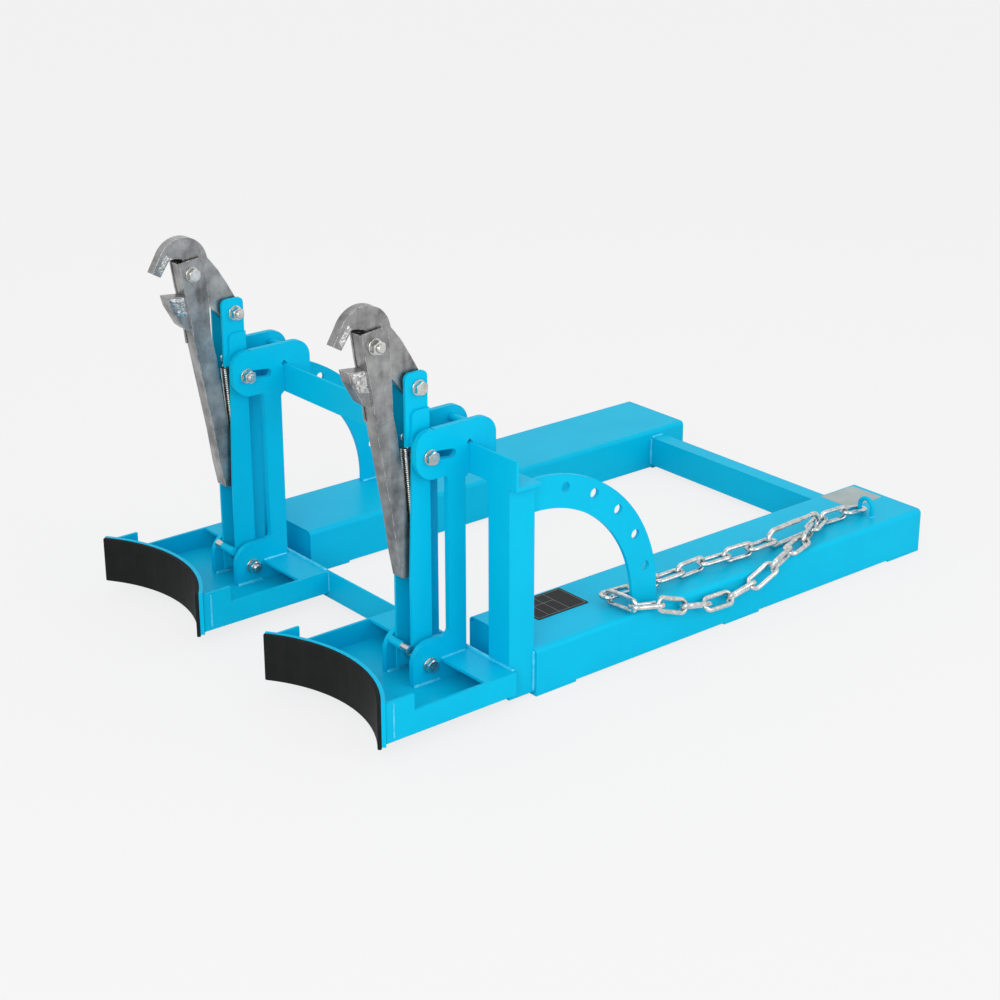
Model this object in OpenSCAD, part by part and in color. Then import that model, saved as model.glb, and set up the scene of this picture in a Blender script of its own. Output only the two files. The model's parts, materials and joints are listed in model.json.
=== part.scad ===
// Forklift drum lifter for two 210 litre drums side by side.
// X runs across the forks, Y runs from the drums towards the truck, Z is up.
// Left means +X: the left hand of a driver who looks over the forks at the drums.
// Heights start at the underside of the sleeve straps, which rest on the floor.

/* [Layout] */
// Distance between the centres of the two gripper units
unit_gap = 600; // [590:5:640]
// Distance between the centres of the two fork sleeves
sleeve_gap = 740; // [720:5:780]

/* [Fork sleeves] */
// Length of a fork sleeve
sleeve_len = 1100; // [1000:10:1200]
// Outer width of a fork sleeve
sleeve_w = 200; // [190:5:210]
// Height of the sleeve's bent sheet above its straps
sleeve_h = 93; // [85:1:100]
// Wall of the sleeve
sleeve_wall = 5; // [4:0.5:7]
// Outer bend radius of the sleeve's top edges
sleeve_bend_r = 10; // [7:0.5:12]
// Width of a strap under the sleeve
strap_w = 100; // [80:5:120]
// Thickness of a strap
strap_t = 4; // [3:0.5:6]
// Number of straps under each sleeve
strap_count = 3; // [2:1:4]
// Thickness of the plate that closes a sleeve's front end
end_plate_t = 6; // [4:0.5:8]

/* [Frame] */
// Side of a square mast tube
mast_w = 60; // [50:1:70]
// Wall of a mast tube
mast_wall = 5; // [3:0.5:6]
// How far the mast's outer side stands in from the sleeve's outer side
mast_inset = 8; // [4:1:14]
// Height of the mast's lower end above the floor
mast_bottom = 8; // [4:1:12]
// Height of the mast's upper end
mast_top = 430; // [420:5:450]
// Thickness of both cross angles
angle_t = 6; // [5:0.5:8]
// Height of both cross angles' upright legs
angle_h = 60; // [54:1:66]
// How far the upper cross angle reaches past each mast
top_angle_end = 19; // [14:1:26]
// Height of the rear cross tube
rear_tube_h = 70; // [60:1:76]
// Depth of the rear cross tube
rear_tube_d = 40; // [30:1:50]
// Wall of the rear cross tube
rear_tube_wall = 4; // [3:0.5:5]
// Height of the rear cross tube's underside
rear_tube_z = 10; // [6:1:14]
// Distance from the sleeves' rear ends to the rear cross tube
rear_tube_inset = 66; // [50:2:100]

/* [Arc plates] */
// Outer radius of an arc plate
arc_r = 315; // [300:1:318]
// Width of the arc plate's ring
arc_w = 65; // [50:1:75]
// Thickness of an arc plate
arc_t = 8; // [6:1:10]
// How far an arc plate's outer face stands in from the mast's outer side
arc_inset = 12; // [8:1:30]
// Length of the arc plate's straight stretch at the mast
arc_run = 10; // [4:1:20]
// Radius of the holes in an arc plate
arc_hole_r = 10; // [6:0.5:12]
// Number of holes in an arc plate
arc_hole_count = 5; // [3:1:6]

/* [Beams and saddles] */
// Width of a front beam
beam_w = 366; // [360:2:376]
// Height of a front beam's underside
beam_z = 28; // [24:1:32]
// Thickness of a front beam's bent sheet
beam_t = 6; // [5:0.5:8]
// Height of a front beam's side walls
beam_h = 47; // [42:1:52]
// Height of a side wall beside the saddle
horn_h = 80; // [70:1:84]
// Length of a raised side wall, measured to the saddle's middle line
horn_len = 5; // [0:1:20]
// Gap between the post's back and the cover plate behind it
cover_gap = 3; // [2:0.5:8]
// Radius of the rubber face that a drum leans on
pad_r = 297; // [293:1:305]
// Distance from the masts to the saddle's middle line at the rubber face
saddle_reach = 257; // [250:1:270]
// Half of the angle that a saddle spans
saddle_half = 37; // [34:0.5:40]
// Thickness of the rubber pad
pad_t = 8; // [6:0.5:12]
// Thickness of the saddle's steel plate
saddle_t = 8; // [6:0.5:10]
// Height of the saddle's steel plate
saddle_h = 90; // [80:1:100]
// How far the saddle plate reaches below the beam
saddle_drop = 3; // [1:0.5:5]
// How far the rubber pad reaches below the saddle plate
pad_drop = 5; // [2:0.5:8]

/* [Carriage plates] */
// Thickness of a carriage plate
plate_t = 12; // [10:0.5:14]
// Distance between the inner faces of the two carriage plates
plate_gap = 72; // [68:1:80]
// Width of a carriage plate's upright strip
strip_w = 40; // [34:1:44]
// Distance from the upper angle's face to the strip
strip_gap = 10; // [6:1:14]
// How far the foot reaches in front of the upper angle
foot_reach = 137; // [130:1:140]
// Height of the carriage plate's foot
foot_h = 85; // [80:1:92]
// Radius of the foot's front corner
foot_r = 42; // [36:1:46]
// How far the upper arm reaches in front of the upper angle
arm_reach = 122; // [116:1:128]
// Height of the upper arm
arm_h = 96; // [90:1:100]
// How far the arm stands above the upper angle
arm_rise = 43; // [38:1:46]
// How far the hook reaches behind the upper angle's face
hook_reach = 63; // [50:1:66]
// Play of the upper angle in the hook's slit
slit_play = 1; // [0.5:0.1:2]
// Radius of the keeper bar between the two hooks
keeper_r = 8; // [6:0.5:9]

/* [Post] */
// Width of the post's channel
post_w = 52; // [50:1:56]
// Depth of the post's channel
post_d = 48; // [46:1:52]
// Wall of the post's channel
post_wall = 5; // [4:0.5:6]
// How much narrower the post's side walls are at the spring's upper end
post_taper = 9; // [0:1:12]
// Height of the post's upper end
post_top = 568; // [560:2:580]
// Distance from the upper angle's face to the post's back
post_gap = 74; // [72:1:80]
// Height of the post's pivot above the floor
pivot_z = 70; // [68:1:74]
// Height of the tilt bolt above the floor
tilt_z = 482; // [476:1:486]
// Angle that the post can tilt back
tilt_angle = 7; // [4:0.5:7.5]
// Height of the foot pin across the post's open front
foot_bar_z = 104; // [100:1:110]
// Radius of the foot pin
foot_bar_r = 8; // [6:0.5:9]
// How far the foot pin's ends stand out beside the post
foot_bar_end = 4; // [2:0.5:8]

/* [Head bracket] */
// Wall of the head bracket's channel
bracket_wall = 6; // [5:0.5:7]
// How far the head bracket stands out above the post
bracket_rise = 70; // [66:1:76]
// Length of the head bracket inside the post
bracket_len = 68; // [60:1:80]
// Radius of the spring bars
spring_bar_r = 4; // [3:0.5:5]

/* [Beak and jaw] */
// Thickness of the beak
beak_t = 20; // [18:0.5:20.5]
// Height of the beak's pivot above the post's upper end
beak_rise = 40; // [37:1:44]
// Distance of the jaw's pivot in front of the beak's pivot
jaw_pivot_y = 92; // [90:1:94]
// Height of the jaw's pivot above the beak's pivot
jaw_pivot_z = 94; // [92:1:96]
// Play between the beak and the jaw's walls on each side
jaw_play = 1; // [0.5:0.1:1.5]
// Thickness of the jaw's bent sheet
jaw_wall = 4; // [3:0.5:5]
// Thickness of a cheek plate
cheek_t = 4; // [3:0.5:5]
// Radius of the rounded bolt boss at the beak's lower end
beak_boss_r = 22; // [20:0.5:23]

/* [Fasteners] */
// Diameter of the pivot bolts
bolt_d = 16; // [14:1:16]
// Width across the flats of a bolt's head or nut
hex_af = 24; // [22:1:26]
// Height of a bolt's head
head_h = 10; // [8:0.5:12]
// Height of a nut
nut_h = 13; // [11:0.5:15]
// Outer diameter of a washer
washer_d = 30; // [28:1:34]
// Thickness of a washer
washer_t = 3; // [2:0.5:4]
// How far a bolt's end stands out of its nut
bolt_end = 6; // [3:0.5:10]

/* [Springs] */
// Wire diameter of a return spring
wire_d = 3.4; // [3:0.1:3.6]
// Outer diameter of a return spring
spring_d = 20; // [18:0.5:20]
// Number of curls of one spring
spring_curls = 42; // [30:1:42]

/* [Chain and snap hook] */
// Wire diameter of a chain link
link_d = 9.5; // [8:0.5:10]
// Inner length of a chain link
link_in = 65.5; // [62:0.5:68]
// Outer width of a chain link
link_w = 35.5; // [35:0.5:37]
// Play between two chain links
link_play = 0.7; // [0.5:0.1:2]
// Bar diameter of the chain's eye
eye_d = 10; // [8:0.5:12]
// Distance from the sleeve's rear end to the eye
eye_inset = 118; // [100:1:130]
// Distance of the eye from the sleeve's outer side
eye_side = 56; // [50:1:62]
// Height of the eye's bar above the sleeve
eye_h = 38; // [34:1:42]
// Bar diameter of the snap hook
hook_d = 11; // [10:0.5:12]
// Inner length of the snap hook
hook_in = 152; // [149:1:154]
// Outer width of the snap hook
hook_w = 46; // [44:1:50]
// Length of the snap hook's gate
gate_len = 50; // [40:1:56]
// Height of a lying piece of the chain above what it lies on
lie_gap = 0.3; // [0.1:0.1:0.8]

/* [Labels] */
// Width of the data plate
label_w = 90; // [70:1:100]
// Length of the data plate
label_len = 130; // [100:1:140]
// Distance of the data plate's inner side from the sleeve's inner side
label_side = 13; // [6:1:40]
// Distance of the data plate from the sleeve's front end
label_front = 88; // [80:1:100]
// Width of the blank label
blank_w = 86; // [70:1:95]
// Length of the blank label
blank_len = 102; // [80:1:110]
// Distance of the blank label from the sleeve's inner side and rear end
blank_inset = 11; // [6:1:13]

/* [Hidden] */
$fn = 48;
eps = 0.01;
run_fit = 0.05;
side_play = 0.3;

sleeve_top = strap_t + sleeve_h;
sleeve_out = sleeve_gap / 2 + sleeve_w / 2;
mast_out = sleeve_out - mast_inset;
face_y = -mast_w;
angle_top = mast_top + angle_h;
beam_top = beam_z + beam_h;
floor_z = beam_z + beam_t;
saddle_back_r = pad_r + pad_t + saddle_t;
saddle_cy = face_y - saddle_reach - pad_r;
saddle_z = beam_z - saddle_drop;
front_y = saddle_cy + pad_r * cos(saddle_half);
mid_y = (sleeve_len + front_y) / 2;

bolt_r = bolt_d / 2;
plate_in = plate_gap / 2;
plate_out = plate_in + plate_t;
strip_back = face_y - strip_gap;
strip_front = strip_back - strip_w;
foot_front = face_y - foot_reach;
foot_top = floor_z + foot_h;
arm_front = face_y - arm_reach;
arm_top = angle_top + arm_rise;
arm_bottom = arm_top - arm_h;
hook_back = face_y + hook_reach;

post_back = face_y - post_gap;
post_front = post_back - post_d;
cover_front = post_back + cover_gap;
post_in = post_w / 2 - post_wall;
pivot_y = (post_front + post_back) / 2;
post_bottom = pivot_z - post_d / 2;
tilt_y = pivot_y + bolt_r;
tilt_r = norm([tilt_y - pivot_y, tilt_z - pivot_z]);
tilt_start = atan((tilt_y - pivot_y) / (tilt_z - pivot_z));
slot_w = bolt_d + 1;

bracket_out = post_in;
bracket_in = bracket_out - bracket_wall;
bracket_front = post_front - 2;
bracket_top = post_top + bracket_rise;
beak_y = pivot_y + 4;
beak_z = post_top + beak_rise;
jaw_y = beak_y - jaw_pivot_y;
jaw_z = beak_z + jaw_pivot_z;
beak_half = beak_t / 2;
jaw_in = beak_half + jaw_play;
jaw_out = jaw_in + jaw_wall;
cheek_out = jaw_out + cheek_t;
spring_top_y = bracket_front + 12;
spring_top_z = post_top - bracket_len + 13;
spring_low_y = jaw_y + 91;
spring_low_z = jaw_z - 402;

arc_face = mast_out - arc_inset;
arc_cy = arc_run;
arc_cz = mast_top + 1 - arc_r;
link_r = link_d / 2;
link_bend = link_w / 2 - link_r;
link_half = link_in / 2;
eye_x = sleeve_out - eye_side;
eye_y = sleeve_len - eye_inset;

blue = [0.0, 0.69, 0.91];
zinc = [0.72, 0.72, 0.70];
dark_zinc = [0.42, 0.42, 0.42];
black = [0.06, 0.06, 0.06];

// Puts a shape of the assembly's own layout into the part's frame, centred along Y
module placed() translate([0, -mid_y, 0]) children();

// Puts a gripper piece at its unit; the right unit mirrors the left one
module unit(side) placed() translate([side * unit_gap / 2, 0, 0]) mirror([side < 0 ? 1 : 0, 0, 0]) children();

// Mirrors a frame piece of the left side to the chosen side
module frame_side(side) placed() mirror([side < 0 ? 1 : 0, 0, 0]) children();

// Extrudes a Y-Z outline along X from x0
module side_profile(x0, t) translate([x0, 0, 0]) rotate([90, 0, 90]) linear_extrude(t) children();

// Extrudes an X-Z outline along Y from y0
module cross_profile(y0, t) translate([0, y0 + t, 0]) rotate([90, 0, 0]) linear_extrude(t) children();

// Round bar along X, centred on x = (x0 + x1) / 2
module bar_x(x0, x1, y, z, r) translate([x0, y, z]) rotate([0, 90, 0]) cylinder(h = x1 - x0, r = r);

// Rectangle from two corners
module rect(y0, z0, y1, z1) translate([y0, z0]) square([y1 - y0, z1 - z0]);

// Disc
module disc(y, z, r) translate([y, z]) circle(r);

// Web between a square inner corner and its fillet, which opens to the sy, sz side
module fillet(y, z, r, sy, sz) difference() {
  translate([y, z]) mirror([sy < 0 ? 1 : 0, 0]) mirror([0, sz < 0 ? 1 : 0]) square(r);
  disc(y + sy * r, z + sz * r, r);
}

// Hexagon with its width across flats along the outline's second axis
module hexagon(af) circle(d = af / cos(30), $fn = 6);

// Hex bolt along X: the shank ends at x0, and the head sits on x1
module hex_bolt(x0, x1, y, z) {
  bar_x(x0, x1 + eps, y, z, bolt_r);
  translate([x1, y, z]) rotate([0, 90, 0]) linear_extrude(head_h) hexagon(hex_af);
}

// Washer that starts at x0
module washer(x0, y, z) difference() {
  bar_x(x0, x0 + washer_t, y, z, washer_d / 2);
  bar_x(x0 - 1, x0 + washer_t + 1, y, z, bolt_r + run_fit);
}

// Hex nut that starts at x0
module hex_nut(x0, y, z) difference() {
  translate([x0, y, z]) rotate([0, 90, 0]) linear_extrude(nut_h) hexagon(hex_af);
  bar_x(x0 - 1, x0 + nut_h + 1, y, z, bolt_r + run_fit);
}

// Bolt that clamps a stack of half width w; its head is on the side given by head
module stack_bolt(w, y, z, head) mirror([head < 0 ? 1 : 0, 0, 0])
  hex_bolt(-w - washer_t - nut_h - bolt_end, w + washer_t, y, z);

// Nut and both washers of the same stack
module stack_nut(w, y, z, head) mirror([head < 0 ? 1 : 0, 0, 0]) {
  washer(w, y, z);
  washer(-w - washer_t, y, z);
  hex_nut(-w - washer_t - nut_h, y, z);
}

// Sleeve's bent sheet: a channel with its opening down
module sleeve_section() difference() {
  union() {
    rect(-sleeve_w / 2, 0, sleeve_w / 2, sleeve_h - sleeve_bend_r);
    rect(-sleeve_w / 2 + sleeve_bend_r, 0, sleeve_w / 2 - sleeve_bend_r, sleeve_h);
    for (s = [-1, 1]) disc(s * (sleeve_w / 2 - sleeve_bend_r), sleeve_h - sleeve_bend_r, sleeve_bend_r);
  }
  difference() {
    rect(-sleeve_w / 2 + sleeve_wall, -1, sleeve_w / 2 - sleeve_wall, sleeve_h - sleeve_wall);
    for (s = [-1, 1]) inner_corner(s);
  }
}

// Sheet that stays in an inner top corner of the sleeve, outside its bend
module inner_corner(s) {
  r = sleeve_bend_r - sleeve_wall;
  fillet(s * (sleeve_w / 2 - sleeve_wall), sleeve_h - sleeve_wall, r, -s, -1);
}

module fork_sleeve(side) color(blue) frame_side(side)
  translate([sleeve_gap / 2, 0, strap_t]) cross_profile(0, sleeve_len) sleeve_section();

module sleeve_straps() color(blue) placed() for (s = [-1, 1]) for (i = [0 : strap_count - 1])
  translate([s * sleeve_gap / 2 - sleeve_w / 2, i * (sleeve_len - strap_w) / (strap_count - 1), 0])
    cube([sleeve_w, strap_w, strap_t]);

module sleeve_end_plates() color(blue) placed() for (s = [-1, 1])
  translate([s * sleeve_gap / 2, 0, strap_t]) cross_profile(0, end_plate_t) difference() {
    rect(-sleeve_w / 2 + sleeve_wall, 0, sleeve_w / 2 - sleeve_wall, sleeve_h - sleeve_wall);
    for (c = [-1, 1]) translate([c * (sleeve_w / 2 - sleeve_wall), sleeve_h - sleeve_wall])
      rotate(45) square(sleeve_bend_r, center = true);
  }

module rear_cross_tube() color(blue) placed()
  translate([-sleeve_gap / 2 + sleeve_w / 2, sleeve_len - rear_tube_inset - rear_tube_d, rear_tube_z])
    difference() {
      len = sleeve_gap - sleeve_w;
      cube([len, rear_tube_d, rear_tube_h]);
      translate([-1, rear_tube_wall, rear_tube_wall])
        cube([len + 2, rear_tube_d - 2 * rear_tube_wall, rear_tube_h - 2 * rear_tube_wall]);
    }

// Rolled angle with its upright leg in front and its flat leg to the rear, along X
module cross_angle(half, z) side_profile(-half, 2 * half) {
  rect(face_y, z, face_y + angle_t, z + angle_h - angle_t / 2);
  disc(face_y + angle_t / 2, z + angle_h - angle_t / 2, angle_t / 2);
  rect(face_y, z, 0, z + angle_t);
  fillet(face_y + angle_t, z + angle_t, angle_t, 1, 1);
}

module front_cross_angle() color(blue) placed() cross_angle(mast_out - mast_w, beam_top - angle_h);

module top_cross_angle() color(blue) placed() cross_angle(mast_out + top_angle_end, mast_top);

module mast(side) color(blue) frame_side(side) translate([mast_out - mast_w, face_y, mast_bottom])
  difference() {
    cube([mast_w, mast_w, mast_top - mast_bottom]);
    translate([mast_wall, mast_wall, -1])
      cube([mast_w - 2 * mast_wall, mast_w - 2 * mast_wall, mast_top - mast_bottom + 2]);
  }

module arc_plate(side) color(blue) frame_side(side) side_profile(arc_face - arc_t, arc_t) difference() {
  union() {
    intersection() {
      disc(arc_cy, arc_cz, arc_r);
      rect(arc_cy, arc_cz, arc_cy + arc_r, arc_cz + arc_r);
    }
    rect(0, arc_cz + arc_r - arc_w, arc_cy + eps, arc_cz + arc_r);
    rect(arc_cy + arc_r - arc_w, sleeve_top, arc_cy + arc_r, arc_cz + eps);
  }
  disc(arc_cy, arc_cz, arc_r - arc_w);
  rect(-1, sleeve_top - 1, arc_cy + arc_r - arc_w, arc_cz);
  for (i = [0 : arc_hole_count - 1]) arc_hole(75 - i * 62 / (arc_hole_count - 1));
}

// Hole on the arc plate's middle circle at an angle above the level
module arc_hole(a) disc(arc_cy + (arc_r - 25) * cos(a), arc_cz + (arc_r - 25) * sin(a), arc_hole_r);

// Beam's bent sheet: a channel with its opening up, and raised side walls beside the saddle
module front_beam(side) color(blue) unit(side) difference() {
  union() {
    beam_block(saddle_cy + pad_r / 2, face_y, beam_h);
    beam_block(saddle_cy + pad_r / 2, saddle_cy + saddle_back_r + horn_len, horn_h);
  }
  translate([-beam_w / 2 + beam_t, saddle_cy, floor_z]) cube([beam_w - 2 * beam_t, 2 * pad_r, horn_h]);
  translate([0, saddle_cy, 0]) cylinder(h = 2 * horn_h + beam_z, r = saddle_back_r + eps, $fn = 180);
}

module beam_block(y0, y1, h) translate([-beam_w / 2, y0, beam_z]) cube([beam_w, y1 - y0, h]);

// Covers of the beams between the posts and the masts, slotted for the carriage plates
module beam_covers() color(blue) for (s = [-1, 1]) unit(s) difference() {
  translate([-beam_w / 2 + beam_t, cover_front, beam_top - beam_t])
    cube([beam_w - 2 * beam_t, face_y - cover_front, beam_t]);
  for (x = [-plate_out, plate_in]) translate([x, cover_front - 1, floor_z])
    cube([plate_t, strip_back - cover_front + 1, foot_h]);
}

// Curved slab around a drum, from radius r for a thickness t
module drum_arc(r, t, z0, z1) translate([0, saddle_cy, z0]) linear_extrude(z1 - z0) intersection() {
  difference() {
    circle(r + t, $fn = 180);
    circle(r, $fn = 180);
  }
  polygon([[0, 0], [-2 * r * sin(saddle_half), 2 * r * cos(saddle_half)], [0, 3 * r],
    [2 * r * sin(saddle_half), 2 * r * cos(saddle_half)]]);
}

module saddle_plate(side) color(blue) unit(side) drum_arc(pad_r + pad_t, saddle_t, saddle_z, saddle_z + saddle_h);

module saddle_pad(side) color(black) unit(side)
  drum_arc(pad_r, pad_t - eps, saddle_z - pad_drop, saddle_z + saddle_h);

// Outline of a carriage plate: foot, strip, upper arm, and the hook over the upper angle
module carriage_outline() difference() {
  union() {
    rect(foot_front, floor_z, strip_back, foot_top - foot_r);
    rect(foot_front + foot_r, floor_z, strip_back, foot_top);
    disc(foot_front + foot_r, foot_top - foot_r, foot_r);
    fillet(strip_front, foot_top, 10, -1, 1);
    rect(strip_front, floor_z, strip_back, arm_top);
    fillet(strip_front, arm_bottom, 8, -1, -1);
    rect(arm_front + foot_r, arm_bottom, strip_back, arm_top);
    rect(arm_front, arm_bottom + foot_r, strip_back, arm_top - 32);
    disc(arm_front + foot_r, arm_bottom + foot_r, foot_r);
    disc(arm_front + 32, arm_top - 32, 32);
    polygon([[strip_back - 1, arm_bottom - 14], [face_y, arm_bottom - 4], [face_y, arm_top - 1],
      [strip_back - 1, arm_top - 1]]);
    rect(strip_back - 1, mast_top + angle_t + 1, hook_back, arm_top - 38);
    rect(strip_back - 1, mast_top + angle_t + 1, hook_back - 38, arm_top);
    disc(hook_back - 38, arm_top - 38, 38);
  }
  rect(face_y, 0, face_y + angle_t + slit_play, angle_top + slit_play);
  disc(face_y, angle_top + slit_play, 5);
  hook_corner(slit_play + angle_t + 2);
  tilt_slot();
  disc(pivot_y, pivot_z, bolt_r + run_fit);
}

// Corner that is cut off the hook's lower end beside the upper angle's inner fillet
module hook_corner(c) translate([face_y + angle_t, mast_top + angle_t]) polygon([[-1, -1], [c, -1], [-1, c]]);

// Slot of the tilt bolt: part of a ring around the post's pivot, with round ends
module tilt_slot() {
  intersection() {
    difference() {
      disc(pivot_y, pivot_z, tilt_r + slot_w / 2);
      disc(pivot_y, pivot_z, tilt_r - slot_w / 2);
    }
    polygon([[pivot_y, pivot_z], slot_ray(tilt_start), slot_ray(tilt_start + tilt_angle)]);
  }
  for (a = [tilt_start, tilt_start + tilt_angle])
    disc(pivot_y + tilt_r * sin(a), pivot_z + tilt_r * cos(a), slot_w / 2);
}

function slot_ray(a) = [pivot_y + 2 * tilt_r * sin(a), pivot_z + 2 * tilt_r * cos(a)];

module carriage_plates(side) color(blue) unit(side) for (x = [-plate_out, plate_in])
  side_profile(x, plate_t) carriage_outline();

module keeper_bars() color(blue) for (s = [-1, 1]) unit(s)
  bar_x(-plate_in, plate_in, hook_back - 38, arm_top - 22, keeper_r);

module foot_bolts() color(zinc) for (s = [-1, 1]) unit(s) stack_bolt(plate_out, pivot_y, pivot_z, 1);

module foot_nuts() color(zinc) for (s = [-1, 1]) unit(s) stack_nut(plate_out, pivot_y, pivot_z, 1);

// Spacer tube between the post and a carriage plate
module spacer(x0, x1, y, z) difference() {
  bar_x(x0, x1, y, z, bolt_r + 5);
  bar_x(x0 - 1, x1 + 1, y, z, bolt_r + run_fit);
}

module foot_spacers() color(zinc) for (s = [-1, 1]) unit(s) {
  spacer(post_w / 2 + side_play, plate_in, pivot_y, pivot_z);
  spacer(-plate_in, -post_w / 2 - side_play, pivot_y, pivot_z);
}

// Post: a channel that is open towards the drum, with side walls that narrow beside the spring
module post(side) color(blue) unit(side) difference() {
  side_profile(-post_w / 2, post_w) {
    polygon([[post_front, post_bottom], [post_back, post_bottom], [post_back, post_top],
      [post_front + post_taper + 12, post_top], [post_front + post_taper, post_top - 12],
      [post_front + post_taper, spring_top_z - 5], [post_front, spring_low_z - 50]]);
    disc(post_front + post_taper + 12, post_top - 12, 12);
  }
  translate([-post_in, post_front - 1, post_bottom - 1])
    cube([2 * post_in, post_d - post_wall + 1, post_top - post_bottom + 2]);
  bar_x(-post_w, post_w, pivot_y, pivot_z, bolt_r + run_fit);
  bar_x(-post_w, post_w, tilt_y, tilt_z, bolt_r + run_fit);
}

module foot_pin(side) color(zinc) unit(side)
  bar_x(-post_w / 2 - foot_bar_end, post_w / 2 + foot_bar_end, post_front - foot_bar_r, foot_bar_z, foot_bar_r);

// Head bracket: a channel nested in the post, whose ears carry the beak
module head_bracket(side) color(blue) unit(side) {
  difference() {
    side_profile(-bracket_out, 2 * bracket_out) {
      rect(bracket_front, post_top - bracket_len, post_back - post_wall, bracket_top - 12);
      rect(bracket_front, post_top + eps, post_back, bracket_top - 12);
      rect(bracket_front + 8, post_top + eps, post_back - 12, bracket_top);
      disc(bracket_front + 12, bracket_top - 12, 12);
      disc(post_back - 12, bracket_top - 12, 12);
    }
    translate([-bracket_in, bracket_front - 1, 0])
      cube([2 * bracket_in, post_back - post_wall - bracket_wall - bracket_front + 1, bracket_top + 1]);
    translate([-bracket_in, bracket_front - 1, post_top + 4]) cube([2 * bracket_in, post_d + 9, bracket_top]);
    bar_x(-post_w, post_w, beak_y, beak_z, bolt_r + run_fit);
  }
  bar_x(-bracket_in - eps, bracket_in + eps, spring_top_y, spring_top_z, spring_bar_r);
}

module tilt_bolt(side) color(zinc) unit(side) stack_bolt(plate_out + side_play, tilt_y, tilt_z, 1);

module tilt_nut(side) color(zinc) unit(side) {
  stack_nut(plate_out + side_play, tilt_y, tilt_z, 1);
  spacer(post_w / 2, plate_in - side_play, tilt_y, tilt_z);
  spacer(-plate_in + side_play, -post_w / 2, tilt_y, tilt_z);
}

module beak_bolt(side) color(zinc) unit(side) stack_bolt(bracket_out, beak_y, beak_z, 1);

module beak_nut(side) color(zinc) unit(side) {
  stack_nut(bracket_out, beak_y, beak_z, 1);
  spacer(beak_half + side_play, bracket_in, beak_y, beak_z);
  spacer(-bracket_in, -beak_half - side_play, beak_y, beak_z);
}

// Points of an arc around c from angle a0 to a1
function arc(c, r, a0, a1, n) = [for (i = [0 : n]) c + r * ray(a0 + (a1 - a0) * i / n)];
function ray(a) = [cos(a), sin(a)];

// Beak outline from its pivot: hooked nose, throat for the drum's rim, neck round the jaw's bolt, and boss
nose_c = [-106, 112];
nose_r = 56;
jaw_c = [-jaw_pivot_y, jaw_pivot_z];
neck_r = jaw_in + 5.8;
beak_outline = concat([[-174, 107], [-157, 97], [-133, 131], jaw_c + 34.5 * ray(116)],
  arc(jaw_c, neck_r, 116, 255, 12), arc([0, 0], beak_boss_r, 225, 385, 16), [[-7, 57], [-29, 93]],
  arc(nose_c, nose_r, 8, 155, 20));

module beak(side) color(dark_zinc) unit(side) difference() {
  side_profile(-beak_half, beak_t) translate([beak_y, beak_z]) polygon(beak_outline);
  bar_x(-beak_t, beak_t, beak_y, beak_z, bolt_r + run_fit);
  bar_x(-beak_t, beak_t, jaw_y, jaw_z, bolt_r + run_fit);
}

// Jaw's front line from its pivot, top to bottom, and its back line, bottom to top
jaw_front = [[-25, 22], [-18, -26], [-7, -88], [2, -153], [34, -334], [44, -406], [54, -458]];
jaw_back = [[66, -460], [72, -448], [72, -426], [95, -412], [99, -402], [95, -392], [72, -378],
  [48, -178], [40, -140], [31, -52], [28, 18]];

// Jaw: a channel that is open to the rear, narrowing to its tail
module jaw(side) color(dark_zinc) unit(side) difference() {
  side_profile(-jaw_out, 2 * jaw_out) translate([jaw_y, jaw_z]) polygon(concat(jaw_front, jaw_back));
  side_profile(-jaw_in, 2 * jaw_in) translate([jaw_y + jaw_wall, jaw_z])
    polygon(concat([[-25, 60]], jaw_front, [[54, -480], [100, -480], [100, 60]]));
  bar_x(-post_w, post_w, jaw_y, jaw_z, bolt_r + run_fit);
}

module jaw_spring_pin() bar_x(-jaw_in, jaw_in, spring_low_y, spring_low_z, spring_bar_r);

module jaw_cheeks(side) color(dark_zinc) unit(side) {
  for (x = [-cheek_out, jaw_out]) difference() {
    side_profile(x, cheek_t) translate([jaw_y, jaw_z]) polygon([[-27, 26], [-20, -26], [-8, -88], [-1, -148],
      [36, -140], [35, -52], [30, 20], [22, 31]]);
    bar_x(x - 1, x + cheek_t + 1, jaw_y, jaw_z, bolt_r + run_fit);
  }
  jaw_spring_pin();
}

// Bevelled tooth on the jaw's front that grips under the drum's rim
module jaw_tooth(side) color(dark_zinc) unit(side)
  side_profile(-jaw_out, 2 * jaw_out) translate([jaw_y, jaw_z])
    polygon([[-55, -39], [-15.1, -43], [-7.1, -88], [-4.1, -110], [-14, -112], [-26, -102], [-49, -61]]);

module jaw_bolt(side) color(zinc) unit(side) stack_bolt(cheek_out, jaw_y, jaw_z, -1);

module jaw_nut(side) color(zinc) unit(side) stack_nut(cheek_out, jaw_y, jaw_z, -1);

// Return spring: one wire with a hook at each end and close curls between them
coil_r = (spring_d - wire_d) / 2;
wire_r = wire_d / 2;
spring_top = [spring_top_y, spring_top_z];
spring_low = [spring_low_y, spring_low_z];
spring_span = norm(spring_top - spring_low);
spring_lean = atan2(spring_top_y - spring_low_y, spring_top_z - spring_low_z);
hook_bend = spring_bar_r + wire_r + 0.6;
coil_z0 = 22;
coil_z1 = spring_span - 22;
coil_pitch = (coil_z1 - coil_z0) / spring_curls;
curl_rings = 8;
helix = [for (i = [0 : spring_curls * curl_rings]) [coil_r * cos(360 * i / curl_rings),
  coil_r * sin(360 * i / curl_rings), coil_z0 + coil_pitch * i / curl_rings]];
function hook_arc(s) = [for (i = [0 : 7]) [0, hook_bend * sin(-150 + i * 300 / 7),
  s * -hook_bend * cos(-150 + i * 300 / 7)]];

module return_spring(side) color(zinc) unit(side)
  translate([0, spring_low_y, spring_low_z]) rotate([-spring_lean, 0, 0]) tube(spring_path, wire_r, 6);

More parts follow.
